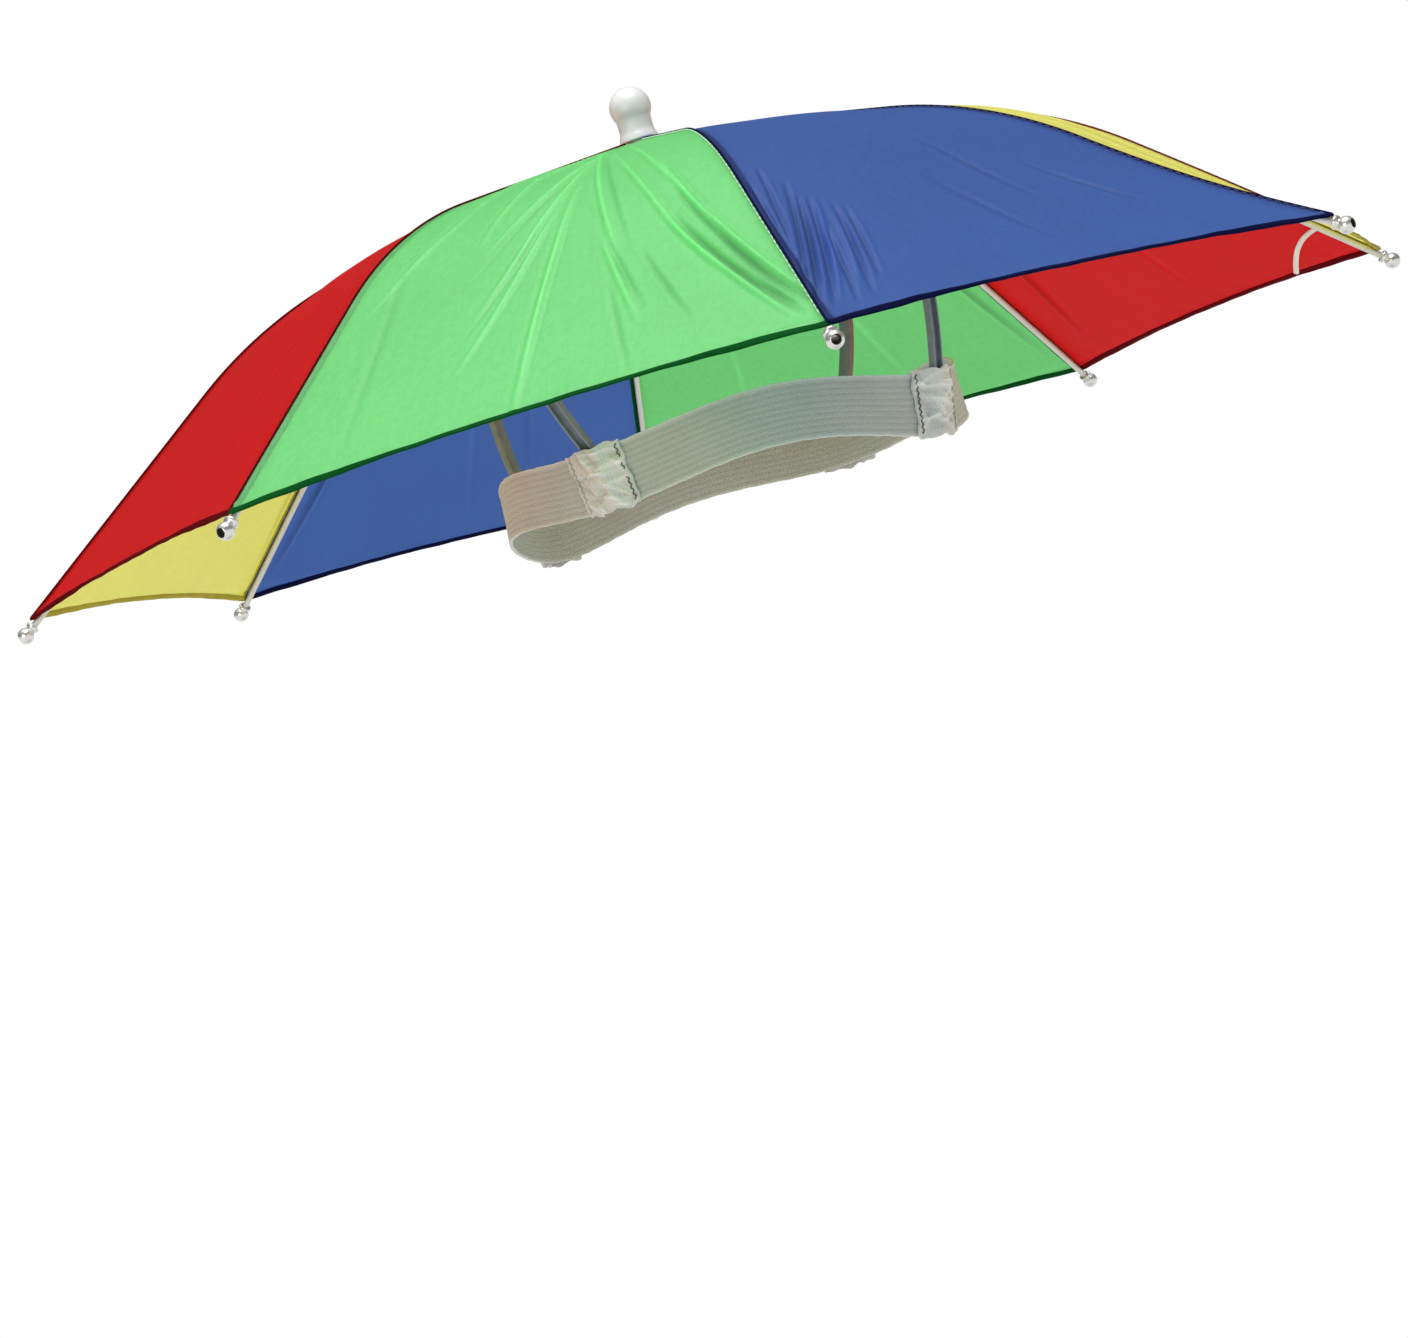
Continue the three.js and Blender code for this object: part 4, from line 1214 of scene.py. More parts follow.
@dataclass
class Canopy:
    """The eight gores, with their hems and the seams over the ribs."""

    form: CanopyForm
    wardrobe: Wardrobe
    columns: int = 150
    rows: int = 116
    fine_columns: int = 264
    fine_rows: int = 184
    fine_gores: tuple[str, ...] = (SIDE_GREEN, FRONT_BLUE)
    crowding: float = 1.1
    hem_crowding: float = 1.3
    cloth_run: float = 1.15
    crease_fade: float = 0.8
    crease_edge: float = 1.5
    crease_shoulder: float = 0.3
    crease_painted_shade: float = 0.6
    painted_shade_width: float = 0.8
    pucker: float = 0.12 * MM
    pucker_start: float = 2 * MM
    pucker_reach: float = 6 * MM
    hem_pull: float = 0.22 * MM
    hem_pull_reach: float = 16 * MM
    crown_pull: float = 0.35 * MM
    crown_pull_radius: float = 50 * MM
    crown_pull_reach: float = 35 * MM
    slack: float = 0.3 * MM
    ridge: float = 0.35 * MM
    ridge_reach: float = 1.3 * MM
    pulled_roll: float = 0.5 * MM
    pulled_roll_place: float = 4.2 * MM
    pulled_roll_reach: float = 1.2 * MM
    hem_width: float = 2.7 * MM
    hem_overhang: float = 0.4 * MM
    hem_roll: float = 0.6 * MM
    hem_rows: int = 12
    seam_width: float = 0.85 * MM
    seam_height: float = 0.4 * MM
    seam_sides: int = 16
    seam_lift: float = 0.7
    seam_start: float = 9 * MM
    seam_end: float = 0.3 * MM
    seam_steps: int = 160
    stitch: float = 2.5 * MM
    stitch_gap: float = 0.2 * MM
    stitch_margin: float = 3 * MM
    stitch_aside: float = 0.3 * MM
    stitch_swell: tuple[float, ...] = (0.35, 0.9, 1.0, 0.9, 0.35)
    stitch_bulge: tuple[float, ...] = (-0.15 * MM, 0.12 * MM, 0.2 * MM, 0.12 * MM, -0.15 * MM)
    thread: float = 0.5 * MM
    thread_sides: int = 6
    selvedge_start: float = 6 * MM
    selvedge_end: float = 2 * MM
    selvedge_full: float = 40 * MM
    selvedge_inset: float = 0.2 * MM
    selvedge_width: float = 2.7 * MM
    selvedge_wave: float = 0.12 * MM
    selvedge_depths: tuple[float, float] = (0.2 * MM, 0.5 * MM)
    selvedge_columns: int = 8

    def folds(self, gore: int, across: Array, radius: Array) -> tuple[Array, Array]:
        """The creases of a gore, and the shade painted along them.

        Args:
            gore: The gore's number.
            across: From -1 to 1 between its ribs.
            radius: The radius at its ribs.

        Returns:
            Their heights in metres, and their painted shade, below 0 where it is a painted highlight.
        """
        reach, half = self.form.reach(radius), self.form.half_width(radius)
        height, shade = np.zeros_like(radius), np.zeros_like(radius)
        for crease in CREASES[GORES[gore].node]:
            start, end = crease.reach
            inside = np.clip((reach - start) / (end - start), 0, 1)
            centre = lerp(*crease.across, inside) + crease.bow * np.sin(math.pi * inside)
            away = np.abs(across - centre) * half / (crease.width * MM)
            strength = crease.depth * np.sin(math.pi * inside) ** self.crease_fade
            valley = np.exp(-(away**self.crease_edge)) - self.crease_shoulder * bell(away - 2)
            height -= strength * MM * valley
            # Painted shade along a valley, painted highlight along a crease that stands proud.
            shade += strength * self.crease_painted_shade * bell(away, self.painted_shade_width)
        return height, shade

    def relief(self, gore: int, across: Array, radius: Array) -> Array:
        """What stands proud of a gore's smooth cloth: creases, puckers and pulls.

        Args:
            gore: The gore's number.
            across: From -1 to 1 between its ribs.
            radius: The radius at its ribs.

        Returns:
            The heights in metres.
        """
        form = self.form
        half = form.half_width(radius)
        aside = across * half
        to_seam = half - np.abs(aside)
        to_hem = (form.cloth_reach - radius) / math.cos(form.outer_slope)
        height = self.folds(gore, across, radius)[0]
        near_seam = np.exp(-to_seam / self.pucker_reach) * np.minimum(1, to_seam / self.pucker_start)
        height += self.pucker * PUCKERS.at(gore, radius, aside) * near_seam
        height += self.hem_pull * HEM_PULLS.at(gore, aside, radius) * np.exp(-to_hem / self.hem_pull_reach)
        near_crown = bell(radius - self.crown_pull_radius, self.crown_pull_reach)
        height += self.crown_pull * CROWN_PULLS.at(gore, across, np.zeros_like(radius)) * near_crown
        loose = (1 - across**2) * np.sin(math.pi * np.clip(form.reach(radius), 0, 1))
        height += self.slack * SLACK.at(gore, aside, radius) * loose
        height += self.ridge * bell(to_seam, self.ridge_reach)
        height += self.pulled_roll * bell(to_hem - self.pulled_roll_place, self.pulled_roll_reach)
        return height

    def add_gores(self) -> dict[str, Piece]:
        """Makes the gores.

        Returns:
            The gores, by the nodes that they stand for.
        """
        form = self.form
        made = {}
        for number, gore in enumerate(GORES):
            fine = gore.node in self.fine_gores
            columns, rows = (self.fine_columns, self.fine_rows) if fine else (self.columns, self.rows)
            side = np.linspace(-1, 1, columns + 1)
            side = np.sign(side) * (1 - (1 - np.abs(side)) ** self.crowding)
            across, reach = np.meshgrid(side, 1 - (1 - np.linspace(0, 1, rows + 1)) ** self.hem_crowding)
            radius = form.row_radius(reach, across)
            relief = self.relief(number, across, radius)
            points = form.gore_point(number, across, radius, form.cloth_lift, relief)
            uv = np.stack([across * form.half_width(radius), radius * self.cloth_run], axis=2)
            maker = MeshMaker()
            maker.add_quads(maker.add_points(points[::-1]), uv[::-1])
            piece = maker.piece(gore.node.replace("panel", "gore"), sharp=180.0)
            # The creases' painted shade and highlight, kept in the gore's mesh.
            keep_painted_shade(piece, self.folds(number, across, radius)[1][::-1])
            made[gore.node] = self.wardrobe.dress(piece, NYLON[gore.hue], gore.node)
        return made

    def add_hems(self) -> dict[str, Piece]:
        """Makes the rolled hems.

        Returns:
            The hems, by the nodes of their gores.
        """
        form = self.form
        side = np.linspace(-1, 1, self.columns + 1)
        across, share = np.meshgrid(side, np.linspace(0, 1, self.hem_rows + 1))
        made = {}
        for number, gore in enumerate(GORES):
            edge = form.row_radius(np.ones_like(across), across)
            radius = edge - (self.hem_width * share - self.hem_overhang) * math.cos(form.outer_slope)
            relief = self.relief(number, across, radius)
            roll = self.hem_roll * np.sqrt(1.02 - (2 * share - 1) ** 2)
            lifts = (form.cloth_lift + roll, form.cloth_lift - roll)
            faces = [form.gore_point(number, across, radius, lift, relief) for lift in lifts]
            uv = np.stack([across * form.half_width(edge), share * self.hem_width], axis=2)
            maker = MeshMaker()
            maker.add_wall(*faces, uv)
            piece = maker.piece(gore.node.replace("panel", "hem"), sharp=60.0)
            made[gore.node] = self.wardrobe.dress(piece, HEMMING[gore.hue])
        return made

    def add_seams(self) -> None:
        """Makes the welt of each seam, its line of stitches and the turned-in cloth under it."""
        form = self.form
        oval = circle(self.seam_sides, 1.0) * np.array([self.seam_width / 2, self.seam_height])
        for number, rib in enumerate(RIBS):
            radius = np.linspace(self.seam_start, form.cloth_reach - self.seam_end, self.seam_steps)
            path, side, up = form.rib_frame(rib, radius)
            path = path + up * (form.cloth_lift + self.ridge + self.seam_lift * self.seam_height)
            hues = sorted((GORES[number - 1].hue, GORES[number].hue), key=DARKEST_FIRST.index)
            welt = MeshMaker()
            welt.add_spoke((path, side, up), number * STEP, oval)
            self.wardrobe.dress(welt.piece(f"seam_{rib.name}"), HEMMING[hues[0]])
            self.add_stitches(number, hues[0])
            self.add_selvedge(number, hues[1])

    def add_stitches(self, number: int, hue: Hue) -> None:
        """Makes the stitches beside a seam's welt.

        Args:
            number: The rib's number.
            hue: The cloth's colour, which the thread matches unless it is the pale thread that paints a
                highlight.
        """
        form, rib = self.form, RIBS[number]
        swell = np.array(self.stitch_swell)[:, None, None]
        lift = form.cloth_lift + self.ridge + np.array(self.stitch_bulge)[:, None]
        section = circle(self.thread_sides, self.thread / 2)[None] * swell
        maker = MeshMaker()
        start = self.seam_start + self.stitch_margin
        while start + self.stitch < form.cloth_reach - self.stitch_margin:
            path, side, up = form.rib_frame(rib, np.linspace(start, start + self.stitch, len(swell)))
            path = path - side * (self.seam_width / 2 + self.stitch_aside) + up * lift
            maker.add_spoke((path, side, up), number * STEP, section)
            start += self.stitch + self.stitch_gap
        # Pale stitches paint the highlight along the seam; the others match the cloth.
        finish = PAINTED_HIGHLIGHT_THREAD if rib.painted_highlight_thread else THREAD[hue]
        self.wardrobe.dress(maker.piece(f"stitches_{rib.name}"), finish)

    def add_selvedge(self, number: int, hue: Hue) -> None:
        """Makes the turned-in cloth beside a rib.

        Args:
            number: The rib's number.
            hue: The cloth's colour.
        """
        form = self.form
        start, end = self.seam_start + self.selvedge_start, form.cloth_reach - self.selvedge_end
        radius = np.linspace(start, end, self.seam_steps)
        share, run = np.meshgrid(np.linspace(0, 1, self.selvedge_columns + 1), radius)
        width = self.selvedge_width * np.minimum(1, run / self.selvedge_full)
        across = -1 + (self.selvedge_inset + width * share) / form.half_width(run)
        wave = self.selvedge_wave * SELVEDGE_WAVES.at(number, run, share) * share
        relief = self.relief(number, across, run) + wave
        lifts = (form.cloth_lift - depth for depth in self.selvedge_depths)
        outer, inner = (form.gore_point(number, across, run, lift, relief)[::-1] for lift in lifts)
        maker = MeshMaker()
        maker.add_wall(outer, inner, np.stack([width * share, run], axis=2)[::-1])
        self.wardrobe.dress(maker.piece(f"selvedge_{RIBS[number].name}", sharp=60.0), HEMMING[hue])


@dataclass
class RibSet:
    """The rib wires with their tips, and the stretchers that prop them."""

    form: CanopyForm
    wardrobe: Wardrobe
    wire_sides: int = 14
    wire_steps: int = 150
    tip_sides: int = 40
    ball_steps: int = 25
    stem_end: float = 1.4 * MM
    eye_rim: float = 0.25 * MM
    eye_radius: float = 1.45 * MM
    eye_depth: float = 2.6 * MM
    eye_lift: float = math.radians(28)
    strut_start: float = 13.3 * MM
    strut_reach: float = 106 * MM
    strut_width: float = 3 * MM
    strut_depth: float = 1.6 * MM
    strut_sheet: float = 0.4 * MM
    strut_steps: int = 23
    pivot_drop: float = 0.75
    end_taper: float = 0.22
    rivet: float = 0.75 * MM
    rivet_sides: int = 16
    rivet_places: tuple[float, float] = (1.2 * MM, 1.6 * MM)
    clip_reach: tuple[float, float] = (-4.5 * MM, 1.5 * MM)
    clip_gap: float = 0.03 * MM
    clip_wall: float = 0.35 * MM

    def neck_profile(self) -> Array:
        """The outline of a tip's neck: a bead at its mouth, a groove, and a stem that ends inside the ball.

        Returns:
            Rows of radius and place along the tip.
        """
        form = self.form
        bore = form.wire / 2 + GAP
        stem = bore + 0.2 * MM
        corners = [
            (0, form.engagement + GAP), (bore, form.engagement + GAP), (bore, 0), (form.neck_radius, 0),
            (form.neck_radius + 0.2 * MM, form.neck * 0.28),
            (form.neck_radius - 0.1 * MM, form.neck * 0.5), (stem, form.neck * 0.66),
            (stem, form.tip_axis - self.stem_end), (0, form.tip_axis - self.stem_end),
        ]
        return softened(corners, 0.25 * MM, 3)

    def ball_profile(self) -> Array:
        """The outline of the pierced ball about its own centre, from its back to the rim of its eye.

        Returns:
            Rows of radius and place along the eye's axis.
        """
        ball = self.form.ball
        end = math.acos((self.eye_radius + self.eye_rim) / ball)
        angle = np.linspace(-math.pi / 2, end, self.ball_steps + 1)
        profile = np.stack([ball * np.cos(angle), ball * np.sin(angle)], axis=1)
        profile[0, 0] = 0
        return profile

    def eye_profile(self, lip: float) -> Array:
        """The outline of the eye, from its rim down to its floor.

        Args:
            lip: The height of the rim over the ball's centre.

        Returns:
            Rows of radius and place along the eye's axis.
        """
        corners = [
            (self.eye_radius + 0.2 * MM, lip + 0.03 * MM), (self.eye_radius, lip - 0.1 * MM),
            (self.eye_radius, lip - self.eye_depth), (0, lip - self.eye_depth),
        ]
        return softened(corners, 0.15 * MM, 3)

    def add(self) -> None:
        """Makes the eight ribs, each with its tip and its stretcher."""
        form = self.form
        ring = circle(self.wire_sides, form.wire / 2, 0.5)
        end = form.tip_radius + (form.engagement - form.tip_axis) * math.cos(form.outer_slope)
        radius = np.linspace(form.hub_radius + GAP, end, self.wire_steps)
        for number, rib in enumerate(RIBS):
            wire = MeshMaker()
            wire.add_spoke(form.rib_frame(rib, radius), number * STEP, ring)
            self.wardrobe.dress(wire.piece(f"wire_{rib.name}"), RIB_STEEL, f"rib_{rib.name}")
            self.add_tip(number, end)
            self.add_stretcher(number)

    def add_tip(self, number: int, end: float) -> None:
        """Makes a rib's tip.

        Args:
            number: The rib's number.
            end: The radius where its wire ends.
        """
        form, rib = self.form, RIBS[number]
        path, side, up = (part[0] for part in form.rib_frame(rib, np.array([end])))
        forward = np.cross(side, up)
        mouth = path - forward * form.engagement
        centre = mouth + forward * form.tip_axis
        outward = forward * math.cos(self.eye_lift) + up * math.sin(self.eye_lift)
        neck = placing(mouth, np.stack([side, up, forward]), number * STEP)
        pierced = placing(centre, np.stack([side, np.cross(outward, side), outward]), number * STEP)
        maker = MeshMaker()
        maker.add_turned(self.neck_profile(), self.tip_sides, neck)
        ball = self.ball_profile()
        eye = self.eye_profile(ball[-1, 1])
        first = len(maker.faces) + (len(ball) - 1) * self.tip_sides
        maker.add_turned(np.concatenate([ball, eye]), self.tip_sides, pierced)
        piece = maker.piece(f"ball_tip_{rib.name}")
        self.wardrobe.dress(piece, PLATING, f"tip_{rib.name}")
        # The faces inside the eye take the near-black metal: painted shade in the hole.
        piece.data.materials.append(self.wardrobe.material(EYE_PAINTED_SHADE))
        for face in piece.data.polygons[first:]:
            face.material_index = 1

    def add_stretcher(self, number: int) -> None:
        """Makes a stretcher: a folded channel with a rivet at each end and a clip round its rib.

        Args:
            number: The rib's number.
        """
        form, rib = self.form, RIBS[number]
        below = form.wire_below + self.pivot_drop * self.strut_depth
        start = np.array([self.strut_start, 0, form.flange_top - form.runner_drop])
        end = np.array([self.strut_reach, 0, form.wire_height(rib, self.strut_reach) - below])
        forward = unit(end - start)
        side = np.array([0.0, 1.0, 0.0])
        up = np.cross(forward, side)
        width, depth, sheet = self.strut_width, self.strut_depth, self.strut_sheet
        section = folded_channel(width, depth, sheet, 0.15 * MM, 3)
        share = np.linspace(0, 1, self.strut_steps + 1)
        path = lerp(start, end, share[:, None])
        narrowed = 1 - self.end_taper * np.exp(-np.minimum(share, 1 - share) * 40)
        taper = np.stack([narrowed, np.ones_like(share)], axis=1)
        line = (path, np.broadcast_to(side, path.shape), np.broadcast_to(up, path.shape))
        maker = MeshMaker()
        maker.add_spoke(line, number * STEP, section[None] * taper[:, None, :])
        half = width / 2 + 0.3 * MM
        crown = half + 0.05 * MM
        pin = softened([(0, -crown), (self.rivet, -half), (self.rivet, half), (0, crown)], 0.2 * MM, 3)
        basis = np.stack([forward, up, side])
        near, far = self.rivet_places
        for centre in (start + forward * near, end - forward * far):
            maker.add_turned(pin, self.rivet_sides, placing(centre, basis, number * STEP))
        self.add_clip(maker, number)
        self.wardrobe.dress(maker.piece(f"strut_{rib.name}"), LEG_STEEL, f"stretcher_{rib.name}")

    def add_clip(self, maker: MeshMaker, number: int) -> None:
        """Adds the clip that joins a stretcher to its rib.

        Args:
            maker: Collects the stretcher.
            number: The rib's number.
        """
        form = self.form
        start, end = (self.strut_reach + place for place in self.clip_reach)
        inner = form.wire / 2 + self.clip_gap
        outer = inner + self.clip_wall
        arc = np.linspace(math.radians(150), math.radians(390), 18)
        round_wire = np.stack([np.cos(arc), np.sin(arc)], axis=1)
        section = np.concatenate([round_wire * outer, round_wire[::-1] * inner])
        line = form.rib_frame(RIBS[number], np.linspace(start, end, 4))
        maker.add_spoke(line, number * STEP, section)


@dataclass(frozen=True)
class BandForm:
    """The oval of the headband, the lean of its wall, and the plate that the legs lead to."""

    half_width: float = 75 * MM
    half_length: float = 93 * MM
    height: float = 21.5 * MM
    wall: float = 1.2 * MM
    dip: float = 6 * MM
    arch: float = 6.5 * MM
    lean_at_leg: float = math.radians(12)
    lean_between: float = math.radians(6)
    leg_top: float = 83 * MM
    plate_radius: float = 17 * MM

    def point(self, angle: Any, offset: Any, rise: Any) -> Array:
        """Points of the band.

        Args:
            angle: The angle that runs round the oval, 0 at the left side and a quarter turn at the back.
            offset: The distance outward from the middle of the wall.
            rise: The height above the middle of the band.

        Returns:
            The points.
        """
        angle, offset, rise = np.broadcast_arrays(angle, offset, rise)
        at_leg = np.cos(2 * angle) ** 2
        x, y = self.half_width * np.cos(angle), self.half_length * np.sin(angle)
        normal = np.stack([x / self.half_width**2, y / self.half_length**2], axis=-1)
        normal /= np.linalg.norm(normal, axis=-1, keepdims=True)
        lean = self.lean_at_leg * at_leg - self.lean_between * (1 - at_leg)
        out = offset + rise * np.tan(lean)
        middle = self.arch * (1 - at_leg) - self.dip * np.sin(angle) ** 2
        return np.stack([x + out * normal[..., 0], y + out * normal[..., 1], middle + rise], axis=-1)

    def speed(self, angle: float) -> float:
        """How many metres of band one radian of the oval takes."""
        return math.hypot(self.half_width * math.sin(angle), self.half_length * math.cos(angle))


@dataclass
class Crown:
    """What the ribs and legs meet in: hub, finial, shaft, runner and leg plate."""

    form: CanopyForm
    band: BandForm
    wardrobe: Wardrobe
    sides: int = 96
    notch_sides: int = 192
    notch_width: float = 1.7 * MM
    flange: float = 3 * MM
    collar_radius: float = 7 * MM
    collar: float = 6 * MM
    shaft_radius: float = 4 * MM
    boss_radius: float = 3.6 * MM
    boss: float = 7 * MM
    hub_notch: float = 11.2 * MM
    runner_notch: float = 10.4 * MM
    runner_radius: float = 9 * MM
    runner_flange: float = 13 * MM
    runner_height: float = 12 * MM
    plate: float = 3 * MM
    finial_foot: float = 7.2 * MM
    waist: float = 6.4 * MM
    knob: float = 7.8 * MM
    knob_height: float = 13 * MM
    knob_steps: int = 39

    def cloth_under(self, radius: float) -> float:
        """The height of the cloth's inner face over the hub."""
        slope = self.form.inner_slope
        return self.form.peak - radius * math.tan(slope) + self.form.cloth_inside / math.cos(slope)

    def cloth_over(self, radius: float) -> float:
        """The height of the cloth's outer face round the finial."""
        return self.cloth_under(radius) + self.form.cloth_wall / math.cos(self.form.inner_slope)

    def notched(self, floor: float, low: float, high: float) -> RadiusAt:
        """A radius with a notch for each rib.

        Args:
            floor: The radius of the notches' floors.
            low: The height where the notches start.
            high: The height where they end.

        Returns:
            A function of radius, height and angle.
        """

        def radius_at(radius: Array, height: Array, turn: Array) -> Array:
            """The radius at an angle, cut down to the floor in a notch."""
            away = np.abs((turn + STEP / 2) % STEP - STEP / 2) * radius
            cut = (away < self.notch_width) & (radius > floor) & (height > low) & (height < high)
            return np.where(cut, floor, radius)

        return radius_at

    def turn_piece(
        self, name: str, node: str, profile: Array, finish: Finish = WHITE_PLASTIC,
        notches: RadiusAt | None = None,
    ) -> None:
        """Makes a turned piece about the hat's axis and dresses it.

        Args:
            name: The piece's name.
            node: The node that it stands for.
            profile: Rows of radius and height.
            finish: Its finish.
            notches: Cuts its notches, where it has them.
        """
        maker = MeshMaker()
        maker.add_turned(profile, self.notch_sides if notches else self.sides, radius_at=notches)
        self.wardrobe.dress(maker.piece(name), finish, node)

    def add(self) -> None:
        """Makes the pieces from the finial down to the plate."""
        self.add_hub()
        self.add_finial()
        self.add_shaft()
        self.add_runner()
        self.add_plate()

    def add_hub(self) -> None:
        """Makes the hub, with a notch for each rib in its flange."""
        rim, top = self.form.flange_radius, self.form.flange_top
        bottom = top - self.flange
        bore = self.shaft_radius + GAP
        hub = self.form.hub_radius
        profile = [
            (0, top - GAP), (bore, top - GAP), (bore, bottom - self.collar),
            (self.collar_radius, bottom - self.collar), (self.collar_radius, bottom),
            (rim - 0.4 * MM, bottom), (rim, bottom + 0.4 * MM), (rim, top), (hub, top),
            (hub, self.cloth_under(hub) - GAP),
            (self.boss_radius, self.cloth_under(self.boss_radius) - GAP),
            (self.boss_radius, top + self.boss), (0, top + self.boss),
        ]
        notches = self.notched(self.hub_notch, bottom - MM, top + 0.5 * MM)
        self.turn_piece("hub_body", "hub", softened(profile, 0.35 * MM, 3), notches=notches)

    def add_finial(self) -> None:
        """Makes the finial: a flared foot with a lip, a waist and a round knob."""
        foot = self.cloth_over(self.finial_foot) + GAP
        bore = self.boss_radius + GAP
        top = foot + self.boss + GAP
        below = [
            (0, top), (bore, top), (bore, self.cloth_over(bore) + GAP), (self.finial_foot, foot),
            (self.finial_foot + 0.3 * MM, foot + 0.5 * MM),
            (self.finial_foot + 0.1 * MM, foot + 1.2 * MM), (self.waist + 0.75 * MM, foot + 1.9 * MM),
            (self.waist + 0.2 * MM, foot + 3.3 * MM), (self.waist, foot + 4.6 * MM),
        ]
        centre = foot + self.knob_height
        start = -math.acos((self.waist + 0.15 * MM) / self.knob)
        angle = np.linspace(start, math.pi / 2, self.knob_steps + 1)
        knob = np.stack([self.knob * np.cos(angle), centre + self.knob * np.sin(angle)], axis=1)
        knob[-1, 0] = 0
        profile = np.concatenate([softened(below, 0.6 * MM, 4), knob])
        self.turn_piece("finial_knob", "finial", profile)

    def add_shaft(self) -> None:
        """Makes the shaft, a steel tube between plate and hub."""
        bottom, top = self.band.leg_top + GAP, self.form.flange_top - 2 * GAP
        corners = [(0, bottom), (self.shaft_radius, bottom), (self.shaft_radius, top), (0, top)]
        self.turn_piece("shaft_tube", "shaft", softened(corners, 0.3 * MM), LEG_STEEL)

    def add_runner(self) -> None:
        """Makes the runner, with a notch for each stretcher."""
        middle = self.form.flange_top - self.form.runner_drop
        low, high = middle - self.runner_height / 2, middle + self.runner_height / 2
        rim_low, rim_high = middle - self.flange / 2, middle + self.flange / 2
        bore = self.shaft_radius + GAP
        corners = [
            (bore, low), (self.runner_radius, low), (self.runner_radius, rim_low),
            (self.runner_flange, rim_low), (self.runner_flange, rim_high),
            (self.runner_radius, rim_high), (self.runner_radius, high), (bore, high),
        ]
        rounded = softened(corners, 0.35 * MM, 3, loop=True)
        profile = np.concatenate([rounded, rounded[:1]])
        notches = self.notched(self.runner_notch, rim_low - MM, rim_high + MM)
        self.turn_piece("runner_sleeve", "runner", profile, notches=notches)

    def add_plate(self) -> None:
        """Makes the plate that the legs meet in, with a raised ring on top."""
        middle, rim = self.band.leg_top, self.band.plate_radius
        bottom, top = middle - self.plate / 2, middle + self.plate / 2
        groove = top - 0.5 * MM
        bore = self.shaft_radius + GAP
        profile = [
            (0, bottom), (rim - 0.6 * MM, bottom), (rim, bottom + 0.6 * MM), (rim, top - 0.4 * MM),
            (rim - 1.2 * MM, top), (rim - 2.2 * MM, groove), (self.collar_radius + MM, groove),
            (self.collar_radius, top), (self.collar_radius, top + self.collar / 2),
            (bore, top + self.collar / 2), (bore, middle), (0, middle),
        ]
        self.turn_piece("leg_disc", "leg_plate", softened(profile, 0.4 * MM, 3))


class Leg(NamedTuple):
    """A leg: the rib that it lies under, its lean above the pocket and how long it keeps that lean.

    dark_row says at which side of its pocket the dark thread runs: 1 is counterclockwise from above.
    """

    name: str
    rib: int
    lean: float
    pull: float
    dark_row: int


LEGS = (
    Leg("left", 0, math.radians(36), 0.6, 1),
    Leg("back", 2, math.radians(16), 0.435, -1),
    Leg("right", 4, math.radians(36), 0.6, 1),
    Leg("front", 6, math.radians(16), 0.435, -1),
)


